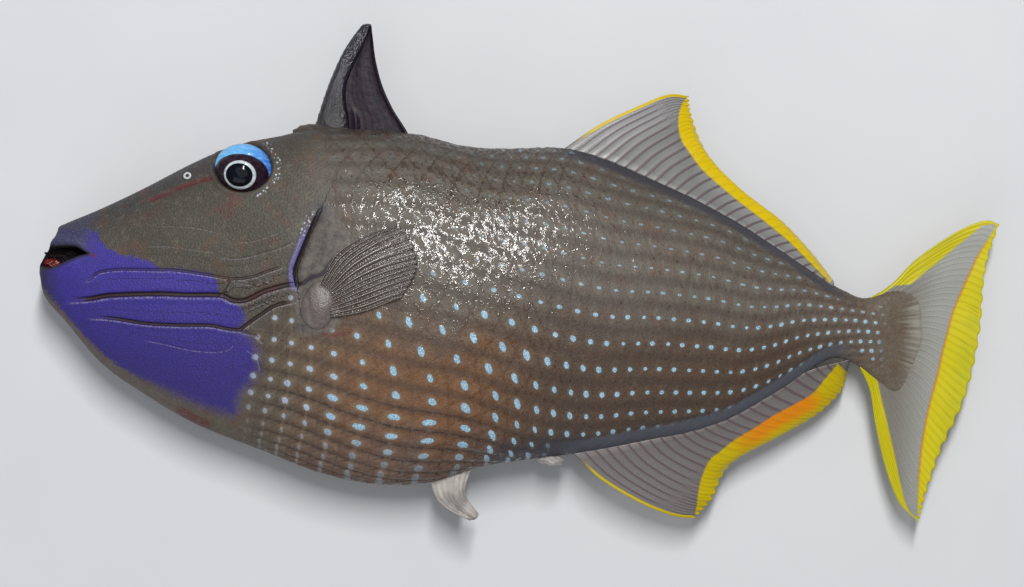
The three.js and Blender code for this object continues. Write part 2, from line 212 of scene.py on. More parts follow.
def line_distance(x, y, line):
    """Distance to a line, the side of it (1 is left of its direction), and the share along it."""
    best = np.full(np.shape(x), 1e9)
    side = np.ones(np.shape(x))
    share = np.zeros(np.shape(x))
    for i in range(len(line) - 1):
        (ax, ay), (bx, by) = line[i], line[i + 1]
        dx, dy = bx - ax, by - ay
        t = np.clip(((x - ax) * dx + (y - ay) * dy) / (dx * dx + dy * dy + 1e-12), 0, 1)
        gap = np.hypot(x - ax - t * dx, y - ay - t * dy)
        nearer = gap < best
        best = np.where(nearer, gap, best)
        side = np.where(nearer, np.where(dx * (y - ay) - dy * (x - ax) >= 0, 1.0, -1.0), side)
        share = np.where(nearer, (i + t) / (len(line) - 1), share)
    return best, side, share


def outline_depth(x, y, outline):
    """How far inside a closed outline each point is, negative outside."""
    closed = np.vstack([outline, outline[:1]])
    gap = line_distance(x, y, closed)[0]
    inside = np.zeros(np.shape(x), bool)
    for (ax, ay), (bx, by) in zip(closed[:-1], closed[1:]):
        if ay != by:
            crosses = ((ay > y) != (by > y)) & (x < (bx - ax) * (y - ay) / (by - ay) + ax)
            inside ^= crosses
    return np.where(inside, gap, -gap)


def oval(x, y, shape):
    """Distance from an oval's middle, with 1 on its edge."""
    (cx, cy), (rx, ry) = shape
    return np.hypot((x - cx) / rx, (y - cy) / ry)


back_at = through(BACK)
belly_at = through(BELLY)
girth_at = through(GIRTH)
rounding_above = through(ROUNDING_ABOVE)
rounding_below = through(ROUNDING_BELOW)
middle_row_at = through(MIDDLE_ROW)
row_pitch_at = through(ROW_PITCH)
column_pitch_at = through(COLUMN_PITCH)
column_lean_at = through(COLUMN_LEAN)
scale_start_at = through(SCALE_START)


def median_at(x):
    return MEDIAN_Z - TAIL_SAG * smooth(x, SAG_X, TAIL_TIP_X)


def body_point(x, turn, inset):
    """A point of the skin: turn 0 is the left flank, which looks up, and a quarter turn is the back."""
    front = np.clip((x - SNOUT_X) / SNOUT_ROUND, 0, 1)
    rear = np.clip((FLESH_END_X - x) / FLESH_ROUND, 0, 1)
    swell = np.sqrt(1 - (1 - front) ** 2) * np.sqrt(1 - (1 - rear) ** 2)
    top, bottom = back_at(x) - inset, belly_at(x) + inset
    level, side = np.sin(turn), np.cos(turn)
    power = np.where(level > 0, rounding_above(x), rounding_below(x))
    girth = np.maximum(girth_at(x) - inset, LEAST_GIRTH) * swell
    width = girth * np.abs(side) ** (2 * power) * (1 + 0.1 * level)
    z = median_at(x) + np.sign(side) * width
    y = (top + bottom) / 2 + (top - bottom) / 2 * swell * level
    return np.stack(np.broadcast_arrays(x, y, np.maximum(z, inset)), -1)


def body_normal(x, turn, inset):
    along = body_point(x + 0.06, turn, inset) - body_point(x - 0.06, turn, inset)
    around = body_point(x, turn + 0.012, inset) - body_point(x, turn - 0.012, inset)
    outward = np.cross(along, around)
    return outward / np.maximum(np.linalg.norm(outward, axis=-1, keepdims=True), 1e-9)


def turn_at(x, y, left):
    """The turn round the section at which the flank has this height."""
    top, bottom = back_at(x), belly_at(x)
    level = np.clip((2 * y - top - bottom) / (top - bottom), -0.9995, 0.9995)
    turn = np.arcsin(level)
    return turn if left else math.pi - turn


# Scale rows and columns
COLUMN_PHASE = 0.35
LEAN_ROUNDS = 14
column_places = np.linspace(-90, 75, 1200)
column_numbers = running_total(np.diff(column_places) / column_pitch_at(column_places[1:]))


def flank_reach(x, below):
    """Height from the middle row down to the belly, or up to the back."""
    return np.where(below, middle_row_at(x) - belly_at(x), back_at(x) - middle_row_at(x))


def row_of(x, y):
    off = middle_row_at(x) - y
    reach = flank_reach(x, off > 0)
    return np.sign(off) * reach / row_pitch_at(x) * np.arcsin(np.clip(np.abs(off) / reach, 0, 1))


def row_height(row, x):
    reach = flank_reach(x, row > 0)
    swing = np.minimum(np.abs(row) * row_pitch_at(x) / reach, math.pi / 2)
    return middle_row_at(x) - np.sign(row) * reach * np.sin(swing)


def lean_drop(x, y):
    return LEAN_LEVEL[0] + LEAN_LEVEL[1] * x - y


def leant(start, drop):
    """How far behind its start a column is when it has dropped this far."""
    bent = np.where(drop > 0, LEAN_REACH * np.tanh(drop / LEAN_REACH), drop)
    return column_lean_at(start) * bent + LEAN_LEVEL[1] * drop - LEAN_CURVE * drop**2


def column_of(x, y):
    drop = lean_drop(x, y)
    start = x
    for _ in range(LEAN_ROUNDS):
        start = x - leant(start, drop)
    return np.interp(start, column_places, column_numbers) + COLUMN_PHASE


def scale_place(row, column):
    start = np.interp(column - COLUMN_PHASE, column_numbers, column_places)
    x = start
    for _ in range(LEAN_ROUNDS):
        x = start + leant(start, lean_drop(x, row_height(row, x)))
    return x, row_height(row, x)


grooves = [(spline(points), width, depth) for points, width, depth in GROOVES]
gill_slit = spline(GILL_SLIT)
gill_fold = spline(GILL_FOLD)
violet_patch = spline(VIOLET_PATCH, 4)
mouth = spline(MOUTH, 4)
bare_skin = spline(BARE_SKIN, 4)
stains = [(spline(points, 4), width, strength) for points, width, strength in STAINS]


def nearest_groove(x, y):
    """Signed distance to the nearest cheek groove in its own widths, and how deep it is there."""
    best = np.full(np.shape(x), 99.0)
    depth = np.zeros(np.shape(x))
    for line, width, deep in grooves:
        gap, side, share = line_distance(x, y, line)
        fade = smooth(share, 0, 0.16) * (1 - smooth(share, 0.93, 1.0) * 0.8)
        nearer = gap / width < np.abs(best)
        best = np.where(nearer, side * gap / width, best)
        depth = np.where(nearer, deep * fade, depth)
    return np.clip(best, -12, 12), depth


def markings(x, y):
    """What the skin's and the scales' finish reads at each point, as vectors by name."""
    row, column = row_of(x, y), column_of(x, y)
    off = np.abs(middle_row_at(x) - y)
    reach = flank_reach(x, row > 0)
    row_step = row_pitch_at(x) * np.sqrt(np.clip(1 - (off / reach) ** 2, 0.02, 1))
    column_step = column_pitch_at(x)
    # Round dots in front and behind, upright ovals on the lower flank, long ones on the belly's folds
    upright = span(x, -27, -17, -2, 26) * smooth(row, -0.8, 1.0)
    lying = smooth(row, 3.2, 5.4) * span(x, -33, -23, -10, 0)
    upright = upright * (1 - lying)
    across = 0.46 + 0.06 * upright + 0.62 * lying + 0.06 * (1 - smooth(x, -30, 10))
    down = 0.43 + 0.42 * upright + 0.04 * lying + 0.06 * (1 - smooth(x, -30, 10))
    high = smooth(-row, 0.2, 3.5)
    across, down = across * (1 - 0.05 * high), down * (1 - 0.5 * high)
    down = down * (1 - 0.42 * smooth(row, 3.4, 6.0) * smooth(x, -8, 4))
    across, down = across * (1 - 0.12 * smooth(x, 0, 25)), down * (1 - 0.12 * smooth(x, 0, 25))
    across = across * (1 - 0.5 * smooth(row, 5.5, 8.5))
    begins = scale_start_at(y)
    strength = span(x, begins - 0.5, begins + 1.5, 59.5, 62.5)
    strength = strength * (1 - 0.35 * smooth(-row, 0.6, 2.2) - 0.3 * smooth(-row, 3.0, 5.5))
    strength = strength * (1 - smooth(-row, 0.2, 1.8) * (1 - smooth(x, -16, 4)) * 0.85)
    strength = strength * (1 - 0.75 * smooth(row, 5.5, 8.5)) * (0.72 + 0.28 * smooth(x, -42, -30))
    strength = strength * (1 - smooth(x, 2, 10) * (1 - smooth(y - belly_at(x), 2.0, 3.0)))
    strength = strength * (1 - smooth(x, 5, 12) * (1 - smooth(back_at(x) - y, 1.6, 2.6)))
    drop = lean_drop(x, y)
    bend = np.where(drop > 0, 1 / np.cosh(drop / LEAN_REACH) ** 2, 1)
    lean = column_lean_at(x) * bend + LEAN_LEVEL[1] - 2 * LEAN_CURVE * drop
    bare = smooth(outline_depth(x, y, bare_skin), -0.6, 0.4)
    groove, groove_depth = nearest_groove(x, y)
    slit, slit_side, _ = line_distance(x, y, gill_slit)
    fold = line_distance(x, y, gill_fold)[0]
    stain = np.zeros(np.shape(x))
    for line, width, amount in stains:
        stain = np.maximum(stain, amount * np.maximum(1 - line_distance(x, y, line)[0] / width, 0))
    return {
        "lattice": (row, column, strength * (1 - bare)),
        "steps": (column_step, row_step, stain),
        "dots": (across, down, smooth(x, begins - 1, begins + 2) * (1 - bare) * (1 - smooth(x, 58, 62))),
        "marks": (outline_depth(x, y, violet_patch), groove, groove_depth),
        "openings": (slit * slit_side, -outline_depth(x, y, mouth), fold),
        "edges": (back_at(x) - y, y - belly_at(x), bare),
        "tilts": (lean, upright, lying),
    }


def write_vectors(mesh, name, values):
    written = mesh.attributes.new(name, "FLOAT_VECTOR", "POINT")
    written.data.foreach_set("vector", np.stack(values, -1).astype(np.float32).ravel())


def write_markings(mesh, x, y):
    for name, values in markings(x, y).items():
        write_vectors(mesh, name, values)


def skin_relief(x, y, left):
    """Height of the skin over its smooth form, in millimetres."""
    groove, depth = nearest_groove(x, y)
    height = -depth * bell(groove, 1.15) + 0.3 * depth * bell(groove + 2.6, 1.2)
    slit, side, share = line_distance(x, y, gill_slit)
    ends = smooth(share, 0, 0.2) * (1 - 0.4 * smooth(share, 0.85, 1))
    height += ends * (-0.75 * bell(slit, 0.4)
                      + 0.22 * bell(slit - 0.75, 0.5) * (side < 0)
                      - 0.35 * bell(slit, 2.2) * (side > 0))
    fold = line_distance(x, y, gill_fold)[0]
    height -= 0.5 * bell(fold, 0.45)
    row = row_of(x, y)
    creased = span(x, -41, -34, -4, 5) * smooth(row, 3.2, 6.5)
    height += 0.16 * creased * np.cos(2 * math.pi * row)
    opening = oval(x, y, EYE_OPENING)
    height += 0.34 * bell(opening - 1.1, 0.06) - 2.4 * (1 - smooth(opening, 0.9, 1.03))
    lip = -outline_depth(x, y, mouth)
    height += 0.32 * bell(lip - 0.75, 0.5) * (1 - smooth(x, -74.5, -71))
    height -= 0.22 * bell(lip - 2.1, 0.5) * (1 - smooth(x, -75, -72)) * (y > -3)
    streak = line_distance(x, y, stains[0][0])[0]
    height -= 0.28 * bell(streak, 0.5)
    height -= 0.5 * bell(x + 33.5, 2.6) * bell(y - 1.2, 3.6)
    height += 0.5 * bell(x + 31.7, 2.9) * bell(y + 7.3, 4.4)
    waves = np.sin(x * 0.31 + 1.3 * np.sin(y * 0.22)) * np.sin(y * 0.37 + 0.8)
    height += 0.1 * waves * smooth(x, -76, -60)
    return height if left else height * 0.7


# Pieces

def named(piece, name):
    piece.name = name
    piece.data.name = name
    return piece


def vertex_places(piece):
    places = np.empty(len(piece.data.vertices) * 3)
    piece.data.vertices.foreach_get("co", places)
    return places.reshape(-1, 3)


def move_vertices(piece, places):
    piece.data.vertices.foreach_set("co", (places * MM).astype(np.float32).ravel())


def ball(name, segments, rings, place):
    """A closed piece from a sphere whose every ring and corner is moved by place(around, along)."""
    bpy.ops.object.select_all(action="DESELECT")
    bpy.ops.mesh.primitive_uv_sphere_add(segments=segments, ring_count=rings, radius=1)
    piece = named(bpy.context.object, name)
    start = vertex_places(piece)
    along = np.arccos(np.clip(start[:, 2], -1, 1)) / math.pi
    around = np.mod(np.arctan2(start[:, 1], start[:, 0]) / (2 * math.pi), 1)
    ring = np.rint(along * rings)
    corner = np.mod(np.rint(around * segments), segments)
    places = place(corner / segments, ring / rings)
    move_vertices(piece, places)
    face_outwards(piece)
    return piece, places


def face_outwards(piece):
    bpy.ops.object.select_all(action="DESELECT")
    piece.select_set(True)
    bpy.context.view_layer.objects.active = piece
    bpy.ops.object.mode_set(mode="EDIT")
    bpy.ops.mesh.select_all(action="SELECT")
    bpy.ops.mesh.normals_make_consistent(inside=False)
    bpy.ops.object.mode_set(mode="OBJECT")
    bpy.ops.object.shade_smooth()
    piece.data.update()


def joined_mesh(name, places, shell):
    """One mesh of many small closed shells, from the places of each and the faces that all share."""
    count, per_shell, _ = places.shape
    faces = [[corner + start for corner in face] for start in range(0, count * per_shell, per_shell)
             for face in shell]
    mesh = bpy.data.meshes.new(name)
    mesh.from_pydata((places.reshape(-1, 3) * MM).tolist(), [], faces)
    mesh.update()
    piece = bpy.data.objects.new(name, mesh)
    bpy.context.scene.collection.objects.link(piece)
    face_outwards(piece)
    bpy.ops.object.shade_smooth_by_angle(angle=math.radians(50))
    return piece


def finish_piece(piece, material, slot, *nodes):
    piece.data.materials.clear()
    piece.data.materials.append(material)
    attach(piece, "root")
    if nodes:
        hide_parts(*nodes)


# The skin: one closed shell from the snout to the flesh over the tail rays
SKIN_RINGS = 398
LEFT_CORNERS = 178
RIGHT_CORNERS = 62


def ring_places():
    """Where the rings stand: close together on the snout and head, and wider behind."""
    stops = np.linspace(SNOUT_X, FLESH_END_X, 4000)
    spacing = 0.06 + 0.19 * smooth(stops, SNOUT_X, -77.5) + 0.2 * smooth(stops, GILL_X, -30)
    spacing = spacing - 0.25 * smooth(stops, 66, FLESH_END_X)
    counted = running_total(np.diff(stops) / spacing[1:])
    return np.interp(np.linspace(0, counted[-1], SKIN_RINGS + 1), counted, stops)


def skin_inset(x):
    return FACE_SCALE_DEPTH + (SCALE_DEPTH - FACE_SCALE_DEPTH) * smooth(x, -44, -34)


def mouth_wall(x, y, z, right_z):
    """The mouth is hollowed from the left down to a thin far wall."""
    deep = smooth(outline_depth(x, y, mouth), -0.05, 0.45)
    floor = np.maximum(median_at(x) - MOUTH_DEPTH, right_z + MOUTH_WALL)
    return np.where(z > floor, z + (np.minimum(z, floor) - z) * deep, z)


def make_skin():
    stations = ring_places()
    corners = LEFT_CORNERS + RIGHT_CORNERS

    def place(around, along):
        x = stations[np.rint(along * SKIN_RINGS).astype(int)]
        corner = around * corners
        turn = np.where(corner < LEFT_CORNERS, -0.5 + corner / LEFT_CORNERS,
                        0.5 + (corner - LEFT_CORNERS) / RIGHT_CORNERS) * math.pi
        inset = skin_inset(x)
        base = body_point(x, turn, inset)
        left = np.cos(turn) > 0
        x, y = base[:, 0], base[:, 1]
        relief = np.where(left, skin_relief(x, y, True), skin_relief(x, y, False))
        ends = span(x, SNOUT_X, SNOUT_X + 1, FLESH_END_X - 1.5, FLESH_END_X)
        pressed = smooth(base[:, 2], inset + 0.01, inset + 1.2)
        edge = smooth(np.abs(np.cos(turn)), 0.0, 0.25)
        normal = body_normal(np.clip(x, SNOUT_X + 0.1, FLESH_END_X - 0.1), turn, inset)
        base = base + normal * (relief * ends * np.where(left, edge, pressed * edge))[:, None]
        mirrored = body_point(x, math.pi - turn, inset)
        base[:, 2] = np.where(left, mouth_wall(x, y, base[:, 2], mirrored[:, 2]), base[:, 2])
        return base

    skin, places = ball("skin", corners, SKIN_RINGS, place)
    write_markings(skin.data, places[:, 0], places[:, 1])
    return skin


# Scales
PLATE_STEPS = 6  # squares along a body scale's edge
PLATE_ROOT = 0.4  # how deep a body scale is rooted in the skin
PLATE_GAP = 0.03  # gap round a body scale, as a share of its own length
FACE_SCALE_SIDES = 6
FACE_SCALE_RINGS = [(0.5, -0.04), (0.34, 0.008)]  # radius in steps and height in mm
FACE_SCALE_TOP = 0.016
FACE_SCALE_REACH = (-77.6, -32)
BAKE_PATCH = 0.003  # a scale's patch on the unwrapped skin
BAKE_SPAN = 0.98  # the part of the unwrapped square that the skin fills
BAKE_EDGE = 0.01


def skin_uv(x, turn):
    """Place on the unwrapped skin: along the fish, and round its section from the belly."""
    along = (x - SNOUT_X) / (FLESH_END_X - SNOUT_X)
    return np.stack([along, turn / (2 * math.pi) + 0.25], -1) * BAKE_SPAN + BAKE_EDGE


def write_bake_map(piece, roots, locals_, per_shell):
    """Each shell of a coat piece is a small patch at its root's place on the unwrapped skin."""
    spots = np.repeat(roots, per_shell, axis=0) + (locals_ - 0.5) * BAKE_PATCH
    corners = np.empty(len(piece.data.loops), int)
    piece.data.loops.foreach_get("vertex_index", corners)
    layer = piece.data.uv_layers.new(name="OFBake")
    layer.data.foreach_set("uv", spots[corners].astype(np.float32).ravel())


def body_scale_cells():
    """Rows and columns of all scales whose middle lies on the scaled skin."""
    rows, columns = np.meshgrid(np.arange(-14, 15), np.arange(0, 90), indexing="ij")
    rows, columns = rows.ravel().astype(float), columns.ravel().astype(float)
    x, y = scale_place(rows, columns)
    on_flank = np.abs(rows) * row_pitch_at(x) / flank_reach(x, rows > 0) < math.pi / 2 - 0.03
    kept = on_flank & (x > scale_start_at(y) + 0.8) & (x < 62.5)
    kept &= outline_depth(x, y, bare_skin) < -0.3
    return rows[kept], columns[kept]


def make_body_scales(name, left):
    rows, columns = body_scale_cells()
    size = PLATE_STEPS + 1
    last = PLATE_STEPS
    s, t = np.meshgrid(np.linspace(0, 1, size), np.linspace(0, 1, size), indexing="ij")
    s, t = s.ravel(), t.ravel()
    rim = ([i * size for i in range(last)] + [last * size + j for j in range(last)]
           + [i * size + last for i in range(last, 0, -1)] + list(range(last, 0, -1)))
    inner = (s > 0.01) & (s < 0.99) & (t > 0.01) & (t < 0.99)
    dome = (4 * s * (1 - s) * 4 * t * (1 - t)) ** 0.5
    beads = np.where(inner, random.uniform(-0.05, 0.08, (len(rows), len(s))), 0)
    rear = smooth(scale_place(rows, columns)[0], 5, 35)
    flatter = ((0.5 + 0.5 * (1 - smooth(rows, -0.5, 3.5))) * (1 - 0.5 * rear))[:, None]
    height = -0.02 + 0.075 * dome * (0.35 + 0.65 * (s + t) / 2) + beads * flatter
    # The rim goes down into the skin, so that each scale is a closed shell
    s, t = np.concatenate([s, s[rim]]), np.concatenate([t, t[rim]])
    height = np.hstack([height, np.full((len(rows), len(rim)), -PLATE_ROOT)])
    row = rows[:, None] - 1 + 2 * PLATE_GAP + (s + t) * (1 - 2 * PLATE_GAP)
    column = columns[:, None] + 0.5 - PLATE_GAP - t * (1 - 2 * PLATE_GAP)
    x, y = scale_place(row, column)
    turn = turn_at(x, y, left)
    inset = skin_inset(x)
    height = height + skin_relief(x, y, left) * smooth(np.abs(np.cos(turn)), 0, 0.25)
    places = body_point(x, turn, inset) + body_normal(x, turn, inset) * height[..., None]
    places[..., 2] = np.maximum(places[..., 2], FLOOR_GAP)
    top = size * size
    shell = [[i * size + j, (i + 1) * size + j, (i + 1) * size + j + 1, i * size + j + 1]
             for i in range(last) for j in range(last)]
    around = len(rim)
    shell += [[rim[(k + 1) % around], rim[k], top + k, top + (k + 1) % around] for k in range(around)]
    shell.append([top + k for k in range(around)])
    per_shell = top + around
    piece = joined_mesh(name, places, shell)
    write_markings(piece.data, x.ravel(), y.ravel())
    root_x, root_y = scale_place(rows, columns)
    roots = skin_uv(root_x, turn_at(root_x, root_y, left))
    write_bake_map(piece, roots, np.tile(np.stack([s, t], -1), (len(rows), 1)), per_shell)
    return piece


def face_scale_roots(left):
    """Staggered places of the small head scales, evenly spread round each section."""
    found = []
    x, x_end = FACE_SCALE_REACH
    column = 0
    turns = np.linspace(-math.pi / 2 + 0.02, math.pi / 2 - 0.02, 400)
    while x < x_end:
        step = 0.44 + 0.2 * float(smooth(x, -76, -45))
        section = body_point(np.full(400, x), turns if left else math.pi - turns, FACE_SCALE_DEPTH)
        length = running_total(np.linalg.norm(np.diff(section, axis=0), axis=1))
        stops = np.arange(0.3 + 0.5 * step * (column % 2), length[-1] - 0.3, step)
        turn = np.interp(stops, length, turns)
        found.append(np.stack([np.full(len(turn), x), turn, np.full(len(turn), step)], -1))
        x += step * 0.88
        column += 1
    found = np.vstack(found)
    jitter = random.uniform(-0.3, 0.3, (len(found), 2)) * found[:, 2:3]
    x = found[:, 0] + jitter[:, 0]
    turn = found[:, 1] + jitter[:, 1] / 14
    return x, turn if left else math.pi - turn, found[:, 2]


def make_face_scales(name, left):
    x, turn, step = face_scale_roots(left)
    y = body_point(x, turn, FACE_SCALE_DEPTH)[:, 1]
    groove, depth = nearest_groove(x, y)
    slit = line_distance(x, y, gill_slit)[0]
    kept = (x < scale_start_at(y) + 1.2) & (oval(x, y, EYE_OPENING) > 1.17)
    kept &= (outline_depth(x, y, mouth) < -0.9) & (np.abs(groove) > np.where(depth > 0.15, 2.0, 1.0))
    kept &= (slit > 0.6) & (outline_depth(x, y, bare_skin) < -0.2)
    kept &= oval(x, y, (NOSTRIL, (1.0, 0.9))) > 1
    x, turn, step, y = x[kept], turn[kept], step[kept], y[kept]
    count = len(x)
    sides = FACE_SCALE_SIDES
    angle = np.arange(sides) / sides * 2 * math.pi
    inset = skin_inset(x)
    base = body_point(x, turn, inset)
    normal = body_normal(x, turn, inset)
    lengthwise = body_point(x + 0.1, turn, inset) - body_point(x - 0.1, turn, inset)
    lengthwise /= np.linalg.norm(lengthwise, axis=1, keepdims=True)
    across = np.cross(normal, lengthwise)
    relief = skin_relief(x, y, left) * smooth(np.abs(np.cos(turn)), 0, 0.25)
    beside_eye = bell(oval(x, y, EYE_OPENING) - 1.25, 0.12) * smooth(x, -46, -43)
    by_gill = bell(x + 36.5, 3.5) * smooth(y, 0, 6)
    bold = 1 + 3.0 * beside_eye + 1.0 * by_gill + 0.5 * smooth(x, -45, -36)
    bold = bold * random.uniform(0.2, 1.4, count)
    places = []
    for radius, height in FACE_SCALE_RINGS:
        for turned in angle:
            offset = lengthwise * np.cos(turned) * 1.1 + across * np.sin(turned)
            offset = offset * (radius * step)[:, None]
            raised = relief + height * np.where(height > 0, bold, 1)
            places.append(base + offset + normal * raised[:, None])
    places.append(base + normal * (relief + FACE_SCALE_TOP * bold)[:, None])
    places = np.stack(places, 1)
    places[..., 2] = np.maximum(places[..., 2], FLOOR_GAP)
    following = [(i + 1) % sides for i in range(sides)]
    shell = [[i, following[i], sides + following[i], sides + i] for i in range(sides)]
    shell += [[sides + i, sides + following[i], 2 * sides] for i in range(sides)]
    shell.append(list(range(sides))[::-1])
    per_shell = 2 * sides + 1
    piece = joined_mesh(name, places, shell)
    write_markings(piece.data, places[..., 0].ravel(), places[..., 1].ravel())
    spots = [[0.5 + radius * math.cos(turned), 0.5 + radius * math.sin(turned)]
             for radius, _ in FACE_SCALE_RINGS for turned in angle] + [[0.5, 0.5]]
    write_bake_map(piece, skin_uv(x, turn), np.tile(np.array(spots), (count, 1)), per_shell)
    return piece


# Fins

def along_line(line, share):
    """Places at shares of a smooth line's points."""
    dense = spline(line, 12)
    stops = np.linspace(0, 1, len(dense))
    return np.stack([np.interp(share, stops, dense[:, k]) for k in (0, 1)], -1)


def fin_point(fin, across, along):
    first, last = along_line(fin["first"], along), along_line(fin["last"], along)
    root, edge = along_line(fin["root"], across), along_line(fin["edge"], across)
    a, b = across[:, None], along[:, None]
    corners = [(fin["root"][0], (1 - a) * (1 - b)), (fin["root"][-1], a * (1 - b)),
               (fin["edge"][0], (1 - a) * b), (fin["edge"][-1], a * b)]
    blend = first * (1 - a) + last * a + root * (1 - b) + edge * b
    return blend - sum(np.array(corner) * weight for corner, weight in corners)


def ray_ridge(ray, along, branch):
    """1 on a ray and 0 between rays; past branch each ray is split in two."""
    whole = 0.5 + 0.5 * np.cos(2 * math.pi * ray)
    split = 0.5 + 0.5 * np.cos(4 * math.pi * ray + math.pi)
    forked = smooth(along, branch - 0.12, branch + 0.12)
    return whole**2 * (1 - forked) + np.maximum(split**2, 0.2 * whole**3) * forked


def make_fin(name, fin, rays, steps, middle, thick, notch, branch, per_ray=6):
    """A thin fin with raised rays, from a grid that is bent into place and given its thickness."""
    wide = rays * per_ray
    bpy.ops.object.select_all(action="DESELECT")
    bpy.ops.mesh.primitive_grid_add(x_subdivisions=wide, y_subdivisions=steps, size=1)
    piece = named(bpy.context.object, name)
    flat = vertex_places(piece)
    across, along = np.clip(flat[:, 0] + 0.5, 0, 1), np.clip(flat[:, 1] + 0.5, 0, 1)
    ray = across * rays
    drawn_in = along - notch * along**6 * (0.5 - 0.5 * np.cos(2 * math.pi * ray))
    spot = fin_point(fin, across, drawn_in)
    ripple = 0.16 * along**1.5 * np.sin(2 * math.pi * ray * 0.23 + 1.5 * along) * fin.get("ripple", 1)
    z = middle(spot[:, 0], spot[:, 1], along) + ripple
    move_vertices(piece, np.column_stack([spot, z]))
    ridge = ray_ridge(ray, along, branch)
    thickness = thick(along, across, ridge)
    most = float(thickness.max())
    group = piece.vertex_groups.new(name="thickness")
    for i, value in enumerate(thickness / most):
        group.add([i], float(value), "REPLACE")
    write_vectors(piece.data, "rays", (ray, along, ridge))
    write_vectors(piece.data, "paint", fin["paint"](spot[:, 0], spot[:, 1], along, across))
    wall = piece.modifiers.new("thickness", "SOLIDIFY")
    wall.thickness = most * MM
    wall.offset = 0
    wall.vertex_group = group.name
    wall.thickness_vertex_group = 0
    bpy.context.view_layer.objects.active = piece
    bpy.ops.object.modifier_apply(modifier=wall.name)
    piece.vertex_groups.clear()
    face_outwards(piece)
    return piece


def along_back(start, end):
    return [(x, float(back_at(x)) - 0.5) for x in np.linspace(start, end, 7)]


def along_belly(start, end):
    return [(x, float(belly_at(x)) + 0.5) for x in np.linspace(start, end, 7)]


SOFT_DORSAL_EDGE = [(25.3, 33.9), (26.2, 30.4), (29.3, 24.7), (35.6, 19.1), (43.3, 14.5), (49, 9.6),
                    (52.9, 5.5)]
SOFT_DORSAL_FIRST = [(5.2, 22.6), (10.9, 27.4), (17.2, 31.3), (21.8, 33.7), (25.3, 33.9)]
DORSAL_BAND = [(24.4, 33.0), (23.9, 31.2), (23.9, 28.7), (24.7, 26.2), (26.6, 23.9), (28.4, 21.9),
               (30.6, 20.2), (33.8, 18.0), (36.5, 16.3), (39.1, 14.7), (41.8, 13.0), (44.5, 11.2),
               (47.2, 9.0), (49.4, 7.1), (51.8, 5.0)]
ANAL_EDGE = [(33.9, -36.4), (36.4, -32.8), (38.8, -26.8), (46.2, -21.5), (51.8, -17.6), (56, -13),
             (56.9, -8.6)]
ANAL_FIRST = [(12, -27.4), (17.1, -31.3), (24.1, -34.6), (30, -36.3), (33.9, -36.4)]
ANAL_BAND = [(33.6, -35.6), (33.7, -33.4), (33.7, -31.4), (34.1, -28.9), (35.0, -26.3), (36.5, -24.8),
             (38.8, -22.5), (41.9, -20.2), (45.0, -17.7), (48.9, -15.1), (51.2, -13.3), (52.7, -11.0),
             (54.1, -8.9), (54.5, -7.8)]
TAIL_EDGE = [(79.4, 18), (77.9, 10), (78.1, 0), (76.9, -11), (73.5, -21.4), (71.7, -29.6),
             (71.2, -33.2)]
TAIL_TOP = [(58.5, 3.0), (62.3, 6), (66.3, 10.9), (72.4, 16), (76.8, 18.3), (79.4, 18)]
TAIL_LOW = [(58.5, -8.3), (60.6, -11.9), (62.2, -17.6), (64.4, -24), (67.4, -30), (71.2, -33.2)]
TAIL_GREY_TOP = [(60, 3.4), (63.0, 5.8), (65.6, 6.3), (67.4, 8.1), (69.7, 10.4), (72.7, 13.5),
                 (75.0, 15.8), (76.5, 17.3), (78.6, 17.9)]
TAIL_TRAIL = [(78.6, 17.2), (77.6, 15.1), (76.2, 12.4), (74.9, 8.7), (73.9, 5.5), (73.0, 2.5),
              (72.5, -0.6), (72.0, -4.0), (71.6, -7.7), (71.1, -10.8), (70.6, -14.2), (70.3, -17.5),
              (70.1, -20.9), (70.2, -25.1), (70.5, -29.3), (70.8, -32.2)]
TAIL_GREY_LOW = [(70.5, -32.3), (69.4, -31.4), (68.3, -29.5), (67.2, -26.3), (66.2, -23.0),
                 (65.1, -19.8), (64.0, -16.5), (62.8, -13.3), (61.8, -10.4), (60, -8)]


def band_paint(band, edge, first, lead):
    """Yellow depth from a fin's hind band and its thin leading edge, and the share along the band."""
    reach = [(x + 3, y + 3) if band is DORSAL_BAND else (x + 3, y - 3) for x, y in edge]
    outline = spline(band, 4)
    zone = np.vstack([outline, np.array(reach[::-1])])
    front = spline(first, 6)

    def paint(x, y, along, across):
        yellow = outline_depth(x, y, zone)
        leading = lead - line_distance(x, y, front)[0]
        share = line_distance(x, y, outline)[2]
        return yellow, leading, share

    return paint


def tail_paint(x, y, along, across):
    grey = np.array(TAIL_GREY_TOP + TAIL_TRAIL + TAIL_GREY_LOW, float)
    yellow = -outline_depth(x, y, grey)
    trail, _, share = line_distance(x, y, spline(TAIL_TRAIL, 3))
    return yellow, trail, share


def plain_paint(x, y, along, across):
    return along, across, along * across


def upright_middle(x, y, along):
    return median_at(x)


def sagging(x, y, along):
    return median_at(x) - FIN_SAG * along**2


def soft_thick(along, across, ridge):
    return 0.16 + 1.3 * (1 - along) ** 4 + (0.11 - 0.03 * along) * ridge


def tail_thick(along, across, ridge):
    return 0.18 + 0.9 * (1 - along) ** 3 + (0.09 - 0.03 * along) * ridge


